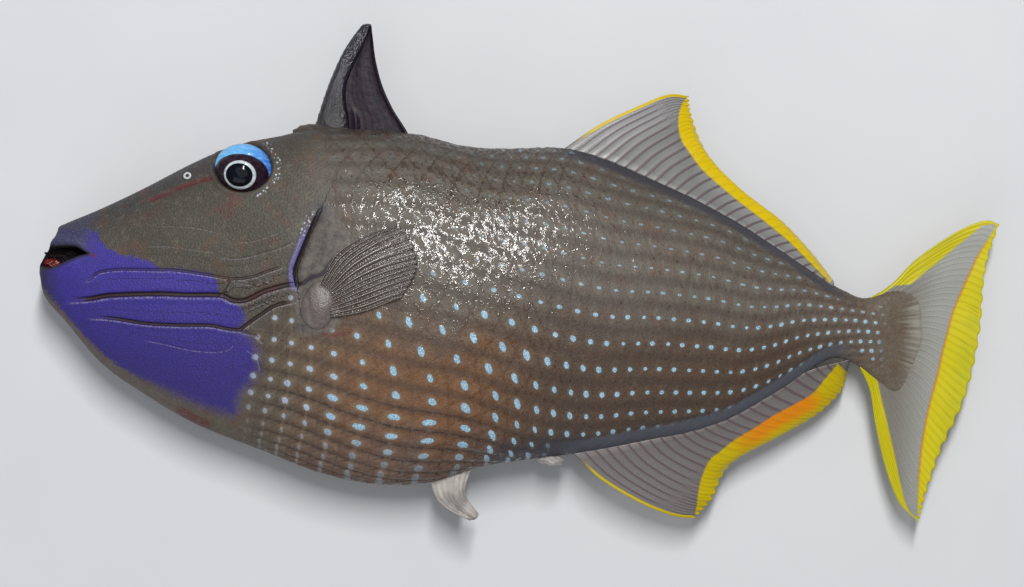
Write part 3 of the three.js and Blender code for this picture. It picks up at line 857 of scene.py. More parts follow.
def make_soft_fins():
    dorsal = {
        "root": along_back(5.2, 52.5), "edge": SOFT_DORSAL_EDGE, "first": SOFT_DORSAL_FIRST,
        "last": [(52.5, float(back_at(52.5)) - 0.5), (52.9, 5.5)],
        "paint": band_paint(DORSAL_BAND, SOFT_DORSAL_EDGE, SOFT_DORSAL_FIRST, 0.5),
    }
    dorsal["first"][0] = dorsal["root"][0]
    anal = {
        "root": along_belly(12, 56.5), "edge": ANAL_EDGE, "first": ANAL_FIRST,
        "last": [(56.5, float(belly_at(56.5)) + 0.5), (56.9, -8.6)],
        "paint": band_paint(ANAL_BAND, ANAL_EDGE, ANAL_FIRST, 0.5),
    }
    anal["first"][0] = anal["root"][0]
    tail = {
        "root": [(58.5, 3.0), (58.5, -2.7), (58.5, -8.3)], "edge": TAIL_EDGE, "first": TAIL_TOP,
        "last": TAIL_LOW, "paint": tail_paint,
    }
    return {
        "second_dorsal_fin": make_fin("soft_dorsal_fin", dorsal, 27, 44, sagging, soft_thick, 0.04, 0.62),
        "anal_fin": make_fin("anal_fin_rays", anal, 25, 44, sagging, soft_thick, 0.05, 0.62),
        "tail_fin": make_fin("tail_fin_rays", tail, 24, 72, upright_middle, tail_thick, 0.02, 0.45, 8),
    }


# First dorsal fin
SPINE_FRONT = [(-37.0, 18.6), (-36.2, 22.6), (-35.3, 27.05), (-34.4, 30.6), (-33.1, 34.5),
               (-31.7, 37.4), (-30.1, 40.0)]
SPINE_REAR = [(-30.0, 18.8), (-30.7, 23.8), (-31.6, 27.1), (-31.7, 29.9), (-30.8, 33.1), (-29.4, 37.0),
              (-28.6, 40.2)]
WEB_REAR = [(-20.0, 21.0), (-21.1, 23.1), (-23.7, 26.4), (-25.9, 30.2), (-27.4, 34.2), (-28.2, 37.6),
            (-28.7, 39.7)]


def make_spine():
    fin = {"first": SPINE_FRONT, "last": SPINE_REAR, "root": [SPINE_FRONT[0], SPINE_REAR[0]],
           "edge": [SPINE_FRONT[-1], SPINE_REAR[-1]]}

    def place(around, along):
        turn = around * 2 * math.pi
        across = 0.5 - 0.5 * np.cos(turn)
        spot = fin_point(fin, across, along)
        half = 1.75 * (1 - 0.72 * along) * np.sin(turn)
        front = bell(across - 0.05, 0.12)
        bumps = np.maximum(np.sin(along * 118 + 2.2 * np.sin(turn * 3)), 0) ** 3 * np.cos(turn * 9) ** 2
        rough = 0.12 * bumps * front * (1 - 0.5 * along)
        z = median_at(spot[:, 0]) + half
        ends = span(along, 0, 0.02, 0.99, 1)
        centre = fin_point(fin, np.full_like(along, 0.5), along)
        spot = centre + (spot - centre) * (0.05 + 0.95 * ends)[:, None]
        spot[:, 0] -= rough
        return np.column_stack([spot, median_at(spot[:, 0]) + (z - median_at(spot[:, 0])) * ends])

    return ball("first_dorsal_spine", 96, 150, place)[0]


def make_web():
    front = [(x - 0.8, y - 0.4) for x, y in SPINE_REAR]
    web = {"first": front, "last": WEB_REAR, "root": [front[0], (-26.5, 20.6), WEB_REAR[0]],
           "edge": [front[-1], WEB_REAR[-1]], "paint": plain_paint, "ripple": 0.35}

    def thick(along, across, ridge):
        second_spine = bell(across - 0.2 - 0.2 * along, 0.06) * (1 - smooth(along, 0.12, 0.3))
        rear_edge = bell(across - 0.97, 0.04)
        return 0.28 + 0.5 * (1 - along) ** 2 + 0.6 * second_spine + 0.3 * rear_edge + 0.01 * ridge

    return make_fin("first_dorsal_membrane", web, 9, 60, upright_middle, thick, 0.0, 2.0, 10)


# Pectoral fins: a fan of rays on a fleshy base
PECTORAL = {
    "root": [(-32, -4.6), (-30.2, -6), (-29.6, -9)],
    "edge": [(-21.6, 6.5), (-18.7, 6.3), (-16.6, 1.8), (-16.6, -0.7), (-18.4, -4.7)],
    "first": [(-32, -4.6), (-29.8, 0.9), (-26, 4.2), (-21.6, 6.5)],
    "last": [(-29.6, -9), (-24.6, -7.6), (-20.8, -5.8), (-18.4, -4.7)],
    "paint": plain_paint, "ripple": 0.6,
}
PECTORAL_BASE = (-31.7, -7.3)
PECTORAL_BASE_RADII = (2.9, 4.0, 1.5)


def flank_height(x, y):
    return body_point(x, turn_at(x, y, True), 0.0)[:, 2]


def make_pectoral_fan(name, left):
    def middle(x, y, along):
        if left:
            return flank_height(x, y) + 0.42 + 0.25 * along**2
        return np.full_like(x, 0.16)

    def thick(along, across, ridge):
        if not left:
            return 0.1 + 0.1 * ridge
        return 0.1 + 0.3 * (1 - along) ** 2 + (0.42 - 0.2 * along) * ridge

    return make_fin(name, PECTORAL, 13, 40, middle, thick, 0.03, 0.7, 10)


def make_pectoral_base(name, left):
    cx, cy = PECTORAL_BASE
    rx, ry, rz = PECTORAL_BASE_RADII

    def place(around, along):
        turn, tip = around * 2 * math.pi, along * math.pi
        out = np.sin(tip)
        x = cx + rx * out * np.cos(turn) * (1 + 0.08 * np.sin(2 * turn))
        y = cy + ry * out * np.sin(turn)
        wrinkle = 0.05 * np.sin(x * 5 + y * 1.5) * smooth(-(x - cx), -0.5, 2)
        if left:
            level = flank_height(np.full_like(x, cx), np.full_like(y, cy))
            z = level - 0.25 + rz * np.cos(tip) + wrinkle
            z = z + (flank_height(x, y) - level) * 0.6
        else:
            z = 0.22 + 0.18 * np.cos(tip)
        return np.column_stack([x, y, z])

    return ball(name, 64, 40, place)[0]


def make_pelvic_flap():
    flap = {"root": along_belly(-11, -4.4), "edge": [(-3.8, -40.3), (-2.8, -40.1), (-2.5, -39.4)],
            "first": [(-11, -34.6), (-9.6, -37.4), (-7, -39.3), (-3.8, -40.3)],
            "last": [(-4.4, -31.8), (-5.1, -35), (-4.6, -36.9), (-2.5, -39.4)], "paint": plain_paint,
            "ripple": 2.0}
    flap["first"][0] = flap["root"][0]
    flap["last"][0] = flap["root"][-1]

    def thick(along, across, ridge):
        return 0.35 + 2.0 * (1 - along) * np.sin(math.pi * across) ** 0.8 + 0.25 * ridge

    return make_fin("pelvic_skin_flap", flap, 7, 36, upright_middle, thick, 0.02, 0.5, 8)


def lump(name, centre, radii, roughness):
    """A soft rounded piece of flesh with an uneven surface."""
    def place(around, along):
        turn, tip = around * 2 * math.pi, along * math.pi
        shape = np.stack([np.sin(tip) * np.cos(turn), np.sin(tip) * np.sin(turn), np.cos(tip)], -1)
        uneven = (np.sin(shape[:, 0] * 5 + 1) * np.sin(shape[:, 1] * 6 + 2) * np.cos(shape[:, 2] * 4)
                  + 0.5 * np.sin(shape[:, 0] * 13 + shape[:, 1] * 11))
        return np.array(centre) + shape * np.array(radii) * (1 + roughness * uneven)[:, None]

    return ball(name, 40, 28, place)[0]


def make_eye(name, left):
    """An eyeball with a bulging cornea, seated in its socket."""
    cx, cy, cz = EYE_CENTRE
    rx, ry, rz = EYE_RADII
    centre_z = cz if left else 2 * MEDIAN_Z - cz
    way = 1 if left else -1

    def place(around, along):
        turn, tip = around * 2 * math.pi, along * math.pi
        x = cx + rx * np.sin(tip) * np.cos(turn)
        y = cy + ry * np.sin(tip) * np.sin(turn)
        dome = np.cos(tip)
        cornea = 0.5 * np.exp(-(oval(x, y, RING) / 0.95) ** 4) * (dome > 0)
        rim = 0.12 * bell(oval(x, y, RING) - 0.95, 0.1) * (dome > 0)
        socket = 0.18 * bell(oval(x, y, IRIS) - 1.0, 0.06) * (dome > 0)
        z = centre_z + way * (rz * dome + cornea + rim - socket)
        return np.column_stack([x, y, np.maximum(z, 0.1)])

    return ball(name, 128, 96, place)[0]


def make_nostril(name, left):
    """A small raised ring of skin round the nostril."""
    bpy.ops.object.select_all(action="DESELECT")
    bpy.ops.mesh.primitive_torus_add(
        major_segments=36, minor_segments=14, major_radius=1, minor_radius=0.4)
    piece = named(bpy.context.object, name)
    places = vertex_places(piece) * np.array(NOSTRIL_RADII)
    x, y = places[:, 0] + NOSTRIL[0], places[:, 1] + NOSTRIL[1]
    here = np.array([NOSTRIL[0]])
    turn = turn_at(here, np.array([NOSTRIL[1]]), left)
    ground = body_point(here, turn, FACE_SCALE_DEPTH)[0]
    normal = body_normal(here, turn, FACE_SCALE_DEPTH)[0]
    slope = -(normal[0] * places[:, 0] + normal[1] * places[:, 1]) / normal[2]
    z = ground[2] + slope + (places[:, 2] + 0.02) * (1 if left else -1)
    move_vertices(piece, np.column_stack([x, y, z]))
    face_outwards(piece)
    return piece


# Finishes

# Colours as they look on screen: red, green and blue from 0 to 255
# Skin, from the ground up
BELLY_BROWN = (78, 60, 45)
FLANK_OLIVE = (97, 91, 81)
BACK_OLIVE = (90, 85, 77)
BELLY_ORANGE = (122, 82, 48)
THROAT_TAN = (112, 90, 66)
BELLY_EDGE_PINK = (100, 76, 64)
CHEEK_OLIVE = (89, 81, 67)
FOREHEAD_OLIVE = (64, 60, 51)
CHIN_GREY = (96, 90, 86)
BROW_SLATE = (50, 53, 58)
CROWN_GREY = (54, 53, 51)
STALK_BROWN = (98, 85, 71)
MOTTLE_DARK = (72, 52, 42)
MOTTLE_PALE = (124, 118, 96)
BLOTCH_RUST = (96, 58, 36)
SAND_DARK = (34, 26, 22)
SAND_PALE = (168, 162, 146)
ROW_BROWN = (58, 44, 35)
SEAM_BROWN = (58, 42, 34)
# Painted shade in the valleys of the belly folds
CREASE_SHADE = (38, 28, 24)
NET_TAN = (146, 128, 104)
BACK_BAND = (50, 51, 62)
BELLY_BAND = (80, 84, 96)
BELLY_BAND_EDGE = (48, 44, 46)
VENT_SLATE = (42, 44, 58)
TAIL_FLESH = (148, 145, 136)
BARE_PALE = (102, 95, 87)
BARE_DARK = (70, 62, 62)
VIOLET_LOW = (40, 25, 116)
VIOLET_HIGH = (51, 38, 146)
VIOLET_MOTTLE = (36, 20, 88)
VIOLET_PALE = (92, 80, 186)
VIOLET_DARK = (22, 14, 52)
CHIN_NAVY = (38, 34, 62)
SNOUT_NAVY = (44, 44, 66)
SNOUT_PALE = (92, 96, 120)
DOT_HALO = (138, 128, 108)
DOT_BLUE = (116, 156, 184)
DOT_PALE = (182, 218, 234)
DOT_LILAC = (186, 184, 216)
# Painted highlight on the lower lips of the cheek grooves
GROOVE_LIP_HIGHLIGHT = (160, 154, 166)
GROOVE_DARK = (44, 22, 18)
GILL_VIOLET = (118, 114, 190)
# Painted shade in the gill slit
GILL_SLIT_SHADE = (26, 12, 18)
GILL_TOP = (48, 48, 62)
# Painted shade in the fold under the gill slit
GILL_FOLD_SHADE = (34, 26, 34)
# Painted glints on the beads behind the eye and by the gill
PAINTED_BEAD_GLINT = (206, 212, 226)
STAIN_RED = (92, 24, 28)
LIP_DARK = (34, 30, 48)
# Painted shade inside the mouth opening
MOUTH_SHADE = (20, 14, 18)
# Eyes
EYE_SKY = (104, 184, 242)
EYE_BLUE = (58, 118, 226)
EYE_STREAK = (168, 220, 250)
EYE_RIM = (60, 40, 62)
# Painted shade where the eyeball sinks into its socket
EYE_SOCKET_SHADE = (48, 40, 46)
EYE_LOWER = (46, 38, 44)
IRIS_DARK = (34, 22, 34)
IRIS_BROWN = (62, 44, 56)
RING_GREY = (176, 190, 198)
RING_WHITE = (226, 234, 238)
PUPIL_BLACK = (10, 12, 22)
# Painted reflection in the pupil
PUPIL_REFLECTION = (28, 34, 60)
# Fins and floor
TAIL_ROOT = (134, 130, 120)
FIN_GREEN = (178, 196, 30)
FIN_ORANGE = (222, 128, 12)
TAIL_SEAM = (206, 110, 22)
TAIL_OLIVE = (112, 104, 24)
FAN_PALE = (104, 96, 90)
FAN_BROWN = (84, 66, 58)
FAN_RAY = (158, 152, 146)
FAN_JOINT = (128, 118, 110)
FAN_EDGE = (46, 32, 28)
FLOOR_GREY = (212, 214, 217)
FLOOR_PALE = (222, 223, 225)


def linear(value):
    """The light of one part of a colour that is given as it looks on screen, 0 to 255."""
    value = value / 255
    return value / 12.92 if value <= 0.04045 else ((value + 0.055) / 1.055) ** 2.4


def shade(colour, change):
    return tuple(min(max(value + change, 0), 255) for value in colour)


class Recipe:
    """Places nodes in one node tree and links them, so that a finish reads from top to bottom."""

    def __init__(self, tree):
        self.tree = tree

    def put(self, kind, **settings):
        node = self.tree.nodes.new(kind)
        for key, value in settings.items():
            setattr(node, key, value)
        return node

    def feed(self, socket, value):
        if isinstance(value, bpy.types.NodeSocket):
            self.tree.links.new(value, socket)
        elif socket.type == "RGBA":
            socket.default_value = (*[linear(v) for v in value], 1)
        else:
            socket.default_value = value

    def math(self, operation, a, b=0.0):
        node = self.put("ShaderNodeMath", operation=operation)
        for socket, value in zip(node.inputs, (a, b)):
            self.feed(socket, value)
        return node.outputs[0]

    def plus(self, a, b):
        return self.math("ADD", a, b)

    def minus(self, a, b):
        return self.math("SUBTRACT", a, b)

    def times(self, a, b):
        return self.math("MULTIPLY", a, b)

    def over(self, a, b):
        return self.math("DIVIDE", a, b)

    def most(self, a, b):
        return self.math("MAXIMUM", a, b)

    def least(self, a, b):
        return self.math("MINIMUM", a, b)

    def size(self, value):
        return self.math("ABSOLUTE", value)

    def gap(self, a, b):
        """How far two values are apart."""
        return self.size(self.minus(a, b))

    def off_whole(self, value):
        """Distance past the nearest whole number, from -0.5 to 0.5."""
        return self.minus(value, self.math("ROUND", value))

    def swing(self, noise, amount):
        """A noise round 0.5 as a change to both sides."""
        return self.times(self.minus(noise, 0.5), amount)

    def length(self, a, b):
        return self.math("SQRT", self.plus(self.times(a, a), self.times(b, b)))

    def oval(self, x, y, shape):
        """Distance from an oval's middle, with 1 on its edge."""
        (cx, cy), (rx, ry) = shape
        return self.length(self.over(self.minus(x, cx), rx), self.over(self.minus(y, cy), ry))

    def step(self, value, low, high):
        """0 below low and 1 above high, smoothly. Low above high turns it round."""
        node = self.put("ShaderNodeMapRange", interpolation_type="SMOOTHSTEP")
        rising = low < high
        self.feed(node.inputs["Value"], value)
        self.feed(node.inputs["From Min"], low if rising else high)
        self.feed(node.inputs["From Max"], high if rising else low)
        self.feed(node.inputs["To Min"], 0.0 if rising else 1.0)
        self.feed(node.inputs["To Max"], 1.0 if rising else 0.0)
        return node.outputs[0]

    def span(self, value, start, full, ending, end):
        """1 between full and ending, and 0 outside start and end."""
        return self.both(self.step(value, start, full), self.step(value, end, ending))

    def both(self, *masks):
        result = masks[0]
        for mask in masks[1:]:
            result = self.times(result, mask)
        return result

    def mix(self, factor, a, b):
        node = self.put("ShaderNodeMix", data_type="RGBA")
        for index, value in ((0, factor), (6, a), (7, b)):
            self.feed(node.inputs[index], value)
        return node.outputs[2]

    def lay(self, ground, colour, *masks):
        """A colour laid over the ground where all the masks are on."""
        return self.mix(self.both(*masks), ground, colour)

    def attribute(self, name):
        node = self.put("ShaderNodeAttribute", attribute_name=name)
        parts = self.put("ShaderNodeSeparateXYZ")
        self.feed(parts.inputs[0], node.outputs["Vector"])
        return parts.outputs[0], parts.outputs[1], parts.outputs[2]

    def place(self):
        """Object coordinates in millimetres."""
        coordinates = self.put("ShaderNodeTexCoord")
        scaled = self.put("ShaderNodeVectorMath", operation="SCALE")
        self.feed(scaled.inputs[0], coordinates.outputs["Object"])
        self.feed(scaled.inputs["Scale"], 1 / MM)
        return scaled.outputs[0]

    def parts(self, vector):
        node = self.put("ShaderNodeSeparateXYZ")
        self.feed(node.inputs[0], vector)
        return node.outputs

    def vector(self, x, y, z=0.0):
        node = self.put("ShaderNodeCombineXYZ")
        for socket, value in zip(node.inputs, (x, y, z)):
            self.feed(socket, value)
        return node.outputs[0]

    def noise(self, vector, scale, detail=3.0, roughness=0.55):
        node = self.put("ShaderNodeTexNoise")
        self.feed(node.inputs["Vector"], vector)
        self.feed(node.inputs["Scale"], scale)
        self.feed(node.inputs["Detail"], detail)
        self.feed(node.inputs["Roughness"], roughness)
        return node.outputs[0]

    def cells(self, vector, scale):
        node = self.put("ShaderNodeTexVoronoi")
        self.feed(node.inputs["Vector"], vector)
        self.feed(node.inputs["Scale"], scale)
        return node.outputs["Distance"]

    def group(self, name, **inputs):
        node = self.put("ShaderNodeGroup", node_tree=bpy.data.node_groups[name])
        for key, value in inputs.items():
            self.feed(node.inputs[key], value)
        return node.outputs


def new_finish(name, roughness=0.35, coat=0.0, coat_roughness=0.1, specular=0.5):
    material = bpy.data.materials.new(name)
    material.use_nodes = True
    recipe = Recipe(material.node_tree)
    surface = material.node_tree.nodes["Principled BSDF"]
    surface.inputs["Roughness"].default_value = roughness
    surface.inputs["Coat Weight"].default_value = coat
    surface.inputs["Coat Roughness"].default_value = coat_roughness
    surface.inputs["Specular IOR Level"].default_value = specular
    return material, recipe, surface


def bump(recipe, surface, height, distance, strength=1.0):
    node = recipe.put("ShaderNodeBump")
    recipe.feed(node.inputs["Height"], height)
    recipe.feed(node.inputs["Distance"], distance * MM)
    recipe.feed(node.inputs["Strength"], strength)
    recipe.feed(surface.inputs["Normal"], node.outputs[0])


def new_group(name, given, made):
    """An empty node group with its named inputs, each with its kind, and its named outputs."""
    tree = bpy.data.node_groups.new(name, "ShaderNodeTree")
    for label, kind in given.items():
        tree.interface.new_socket(label, in_out="INPUT", socket_type=kind)
    for label in made:
        tree.interface.new_socket(label, in_out="OUTPUT", socket_type="NodeSocketFloat")
    r = Recipe(tree)
    return r, r.put("NodeGroupInput").outputs, r.put("NodeGroupOutput").inputs


def make_speckle_group():
    """Fine wet grain that every finish shares: a mask of specks, a height and soft clouds."""
    kinds = {"Place": "NodeSocketVector", "Scale": "NodeSocketFloat"}
    r, given, out = new_group("wet_grain", kinds, ("Specks", "Height", "Cloud"))
    fine = r.noise(given["Place"], given["Scale"], 4.0, 0.6)
    pimples = r.cells(given["Place"], r.times(given["Scale"], 1.7))
    r.feed(out["Specks"], r.step(pimples, 0.34, 0.08))
    r.feed(out["Height"], r.minus(r.times(fine, 0.8), pimples))
    r.feed(out["Cloud"], r.noise(given["Place"], r.times(given["Scale"], 0.13), 3.0, 0.6))


def make_ray_group():
    """Rays of a fin: a mask that is 1 on a ray, fine cross joints and streaks along the rays."""
    kinds = {label: "NodeSocketFloat" for label in ("Ray", "Along", "Fork")}
    r, given, out = new_group("fin_rays", kinds, ("Ray Mask", "Joints", "Streaks"))
    ray, along = given["Ray"], given["Along"]
    whole = r.size(r.off_whole(ray))
    split = r.size(r.off_whole(r.plus(r.times(ray, 2.0), 0.5)))
    forked = r.step(r.minus(along, given["Fork"]), -0.12, 0.12)
    single = r.both(r.step(whole, 0.17, 0.06), r.minus(1.0, forked))
    twin = r.both(r.step(split, 0.22, 0.08), forked)
    joint = r.math("SINE", r.times(along, 260.0))
    r.feed(out["Ray Mask"], r.plus(single, twin))
    r.feed(out["Joints"], r.step(joint, 0.2, 1.0))
    r.feed(out["Streaks"], r.noise(r.vector(r.times(ray, 7.0), along), 3.0))


def base_colours(r, x, level, from_back, from_belly, cloud):
    """The olive, brown and orange ground of the skin, by region."""
    uneven = r.swing(cloud, 0.3)
    height = r.plus(level, uneven)
    ground = r.mix(r.step(height, 0.34, 0.6), BELLY_BROWN, FLANK_OLIVE)
    ground = r.lay(ground, BACK_OLIVE, r.step(height, 0.72, 0.93))
    front = r.span(x, -36, -24, -8, 10)
    ground = r.lay(ground, BELLY_ORANGE, front, r.step(height, 0.56, 0.3))
    throat = r.both(r.step(x, -24, -36), r.step(height, 0.5, 0.36))
    ground = r.lay(ground, THROAT_TAN, throat)
    ground = r.lay(ground, BELLY_EDGE_PINK, r.span(x, -40, -28, -6, 4), r.step(height, 0.2, 0.04))
    head = r.step(r.plus(x, r.times(uneven, 12.0)), -31, -40)
    cheek = r.mix(r.step(height, 0.2, 0.5), CHEEK_OLIVE, FOREHEAD_OLIVE)
    ground = r.lay(ground, cheek, head)
    chin = r.both(r.step(x, -46, -58), r.step(from_belly, 3.0, 0.6))
    ground = r.lay(ground, CHIN_GREY, chin)
    brow = r.both(r.step(x, -42, -52), r.step(from_back, 6.0, 1.0))
    ground = r.lay(ground, BROW_SLATE, brow)
    crown = r.both(r.span(x, -48, -40, -10, 10), r.step(from_back, 4.0, 0.5))
    ground = r.lay(ground, CROWN_GREY, crown, 0.85)
    return r.lay(ground, STALK_BROWN, r.step(x, 42, 56))


RIDGES_PER_SCALE = 2.0


def make_skin_finish():
    material, r, surface = new_finish("scaled_skin", specular=0.65)
    place = r.place()
    x, y, _ = r.parts(place)
    row, column, dot_strength = r.attribute("lattice")
    column_step, row_step, stain = r.attribute("steps")
    across, down, scaled = r.attribute("dots")
    lean, upright, lying = r.attribute("tilts")
    violet, groove, groove_depth = r.attribute("marks")
    gill, lip, fold = r.attribute("openings")
    from_back, from_belly, bare = r.attribute("edges")
    level = r.over(from_belly, r.plus(from_back, from_belly))
    grain = r.group("wet_grain", Place=place, Scale=2.6)
    broad = r.noise(place, 0.16, 3.0)
    colour = base_colours(r, x, level, from_back, from_belly, broad)

    # Uneven brown and olive mottling, finest on the head
    mottle = r.noise(place, 0.85, 5.0, 0.68)
    colour = r.lay(colour, MOTTLE_DARK, r.step(mottle, 0.42, 0.72), 0.42)
    colour = r.lay(colour, MOTTLE_PALE, r.step(mottle, 0.5, 0.28), 0.3)
    blotch = r.noise(place, 0.34, 4.0, 0.6)
    colour = r.lay(colour, BLOTCH_RUST, r.step(blotch, 0.5, 0.68), 0.4)
    sand = r.noise(place, 5.0, 2.0, 0.8)
    colour = r.lay(colour, SAND_DARK, r.step(sand, 0.5, 0.72), 0.35)
    colour = r.lay(colour, SAND_PALE, r.step(sand, 0.48, 0.3), 0.2)

    # Darker bands between the rows, and the sunk lines between the scales
    off_row = r.off_whole(row)
    off_column = r.off_whole(column)
    between = r.step(r.size(off_row), 0.16, 0.46)
    behind_head = r.both(scaled, r.step(x, 62, 56))
    colour = r.lay(colour, ROW_BROWN, between, behind_head, 0.5)
    slant = r.plus(column, row)
    near_line = []
    for lines in (column, slant):
        frac = r.minus(lines, r.math("FLOOR", lines))
        near_line.append(r.gap(frac, 0.5))
    line = r.times(r.least(near_line[0], near_line[1]), column_step)
    line = r.plus(line, r.swing(mottle, 0.35))
    seam = r.step(line, 0.34, 0.08)
    upper = r.plus(0.24, r.times(r.step(row, 2.0, -1.0), 0.22))
    upper = r.times(upper, r.plus(0.35, r.times(r.step(x, 22, 0), 0.65)))
    colour = r.lay(colour, SEAM_BROWN, seam, behind_head, upper)

    # Painted shade in the valleys of the folds on the belly
    crease = r.plus(r.size(off_row), r.swing(mottle, 0.1))
    folded = r.both(r.span(x, -43, -36, -6, 4), r.step(row, 3.0, 5.5))
    colour = r.lay(colour, CREASE_SHADE, r.step(crease, 0.43, 0.48), folded, 0.75)
    net = r.least(r.size(off_column), r.size(r.off_whole(slant)))
    front_low = r.both(r.span(x, -43, -37, -24, -14), r.step(row, 0.5, 2.0))
    colour = r.lay(colour, NET_TAN, r.step(net, 0.13, 0.03), front_low, 0.12)

    # Dark bands under the soft fins, and the dark place by the vent
    top_band = r.both(r.step(from_back, 2.4, 1.2), r.span(x, 1, 8, 50, 58))
    colour = r.lay(colour, BACK_BAND, top_band, 0.9)
    over_fin = r.span(x, 5, 12, 52, 58)
    low_band = r.both(r.step(from_belly, 2.9, 2.2), over_fin)
    colour = r.lay(colour, BELLY_BAND, low_band, 0.92)
    low_edge = r.both(r.step(r.gap(from_belly, 2.9), 0.5, 0.1), over_fin)
    colour = r.lay(colour, BELLY_BAND_EDGE, low_edge, 0.5)
    vent = r.both(r.step(from_belly, 6.0, 1.5), r.span(x, -5, 1, 8, 18))
    colour = r.lay(colour, VENT_SLATE, vent, 0.75)

    # The flesh on the tail fades into the rays in fine streaks
    spread = r.math("ARCTAN2", r.plus(y, 2.6), r.minus(x, 50.0))
    streaks = r.noise(r.vector(r.times(spread, 20.0), r.times(x, 0.05)), 1.6, 3.0, 0.6)
    ending = r.plus(x, r.swing(streaks, 9.0))
    colour = r.lay(colour, TAIL_FLESH, r.step(ending, 64.5, 69.0))

    # Bare grey skin behind the gill opening
    colour = r.lay(colour, r.mix(r.step(mottle, 0.38, 0.66), BARE_PALE, BARE_DARK), bare)

    # Violet-blue cheek, with a ragged speckled edge
    ragged = r.swing(r.noise(place, 1.5, 5.0, 0.75), 2.6)
    softness = r.plus(0.45, r.times(r.both(r.step(y, -6, -16), r.step(x, -66, -52)), 1.6))
    inside = r.step(r.over(r.plus(violet, ragged), softness), -0.6, 0.9)
    violet_ground = r.mix(r.step(y, -22, -2), VIOLET_LOW, VIOLET_HIGH)
    violet_ground = r.lay(violet_ground, VIOLET_MOTTLE, r.step(mottle, 0.4, 0.75), 0.4)
    violet_ground = r.lay(violet_ground, VIOLET_PALE, r.step(sand, 0.5, 0.3), 0.3)
    violet_ground = r.lay(violet_ground, VIOLET_DARK, r.step(sand, 0.52, 0.7), 0.3)
    chin_front = r.step(r.plus(x, r.times(y, 0.25)), -76.5, -80.5)
    violet_ground = r.lay(violet_ground, CHIN_NAVY, chin_front, 0.8)
    colour = r.lay(colour, violet_ground, inside)
    snout = r.both(r.step(r.plus(x, r.times(ragged, 0.9)), -69.0, -73.0), r.step(y, -3.4, -2.0))
    navy = r.mix(r.step(sand, 0.55, 0.3), SNOUT_NAVY, SNOUT_PALE)
    colour = r.lay(colour, navy, snout, 0.85)

    # Rows of pale blue dots, one on each scale
    cell = r.put("ShaderNodeTexWhiteNoise", noise_dimensions="2D")
    r.feed(cell.inputs["Vector"], r.vector(r.math("ROUND", row), r.math("ROUND", column)))
    chance = cell.outputs["Value"]
    size = r.plus(0.72, r.times(chance, 0.28))
    shifted = r.plus(off_column, r.swing(chance, 0.08))
    drop = r.times(off_row, row_step)
    reach = r.plus(r.times(shifted, column_step), r.times(drop, lean))
    wide = r.over(reach, r.times(across, size))
    tilt = r.minus(r.times(upright, 0.16), r.times(lying, 0.16))
    tall = r.over(r.minus(drop, r.times(reach, tilt)), r.times(down, size))
    wide = r.minus(wide, r.times(tall, r.times(upright, 0.25)))
    ring = r.length(wide, tall)
    freckle = r.noise(place, 3.6, 3.0, 0.7)
    ring = r.plus(ring, r.swing(freckle, 0.55))
    dot = r.both(r.step(ring, 1.12, 0.86), dot_strength)
    halo = r.both(r.step(ring, 2.2, 1.0), dot_strength)
    haze = r.plus(0.14, r.times(r.step(x, -10, -28), 0.3))
    colour = r.lay(colour, DOT_HALO, r.times(halo, haze))
    dot_colour = r.mix(r.step(r.noise(place, 5.5, 2.0), 0.4, 0.62), DOT_BLUE, DOT_PALE)
    dot_colour = r.lay(dot_colour, DOT_LILAC, r.step(x, -22, -38), 0.55)
    colour = r.lay(colour, dot_colour, dot)

    # Cheek grooves: dark red-brown, each with a painted highlight on its lower lip
    cut = r.both(r.step(r.size(groove), 1.4, 0.5), r.step(groove_depth, 0.03, 0.4))
    pale = r.both(r.step(r.size(r.plus(groove, 1.7)), 0.8, 0.15), r.step(groove_depth, 0.01, 0.09))
    colour = r.lay(colour, GROOVE_LIP_HIGHLIGHT, pale, r.step(freckle, 0.42, 0.58), 0.55)
    colour = r.lay(colour, GROOVE_DARK, cut)

    # Gill slit: a dark line of painted shade, with a violet-blue strip in front, and painted shade in the
    # fold under it
    front_side = r.both(r.span(gill, -1.4, -0.8, -0.25, 0.1), r.span(y, -6, -4.5, 2.5, 6.5))
    colour = r.lay(colour, GILL_VIOLET, front_side, r.step(freckle, 0.3, 0.6), 0.85)
    slit = r.step(r.size(gill), 0.42, 0.16)
    colour = r.lay(colour, GILL_SLIT_SHADE, slit)
    gill_top = r.both(r.step(r.size(gill), 2.4, 0.3), r.step(y, 4.5, 8.0))
    colour = r.lay(colour, GILL_TOP, gill_top, 0.55)
    colour = r.lay(colour, GILL_FOLD_SHADE, r.step(fold, 0.55, 0.15))

    # Painted glints: pale specks on the beads behind the eye and at the top of the gill slit
    round_eye = r.step(r.gap(r.oval(x, y, EYE_OPENING), 1.24), 0.12, 0.05)
    beads = r.both(round_eye, r.step(x, -44.8, -43.4))
    by_gill = r.both(r.step(r.size(r.plus(gill, 1.0)), 0.9, 0.3), r.span(y, 2.5, 4.5, 7.0, 8.2))
    beads = r.most(beads, by_gill)
    glint_cells = r.cells(place, 1.9)
    colour = r.lay(colour, PAINTED_BEAD_GLINT, beads, r.step(glint_cells, 0.42, 0.22), 0.8)

    # Red stains, the dark wet rim of the mouth, and painted shade over the lining inside the mouth
    # opening
    red = r.times(r.step(stain, 0.0, 0.75), r.step(mottle, 0.2, 0.6))
    colour = r.lay(colour, STAIN_RED, red, 0.85)
    colour = r.lay(colour, LIP_DARK, r.step(lip, 0.75, 0.1), 0.85)
    colour = r.lay(colour, MOUTH_SHADE, r.step(lip, 0.1, -0.15))
    r.feed(surface.inputs["Base Color"], colour)

    # Short ridges that slant both ways over each scale and break up the light
    warp = r.noise(place, 0.55, 3.0, 0.6)
    ridges = []
    for lines in (column, slant):
        wave = r.plus(r.times(lines, RIDGES_PER_SCALE), r.times(warp, 2.4))
        ridges.append(r.math("SINE", r.times(wave, 2 * math.pi)))
    ridge = r.most(ridges[0], ridges[1])
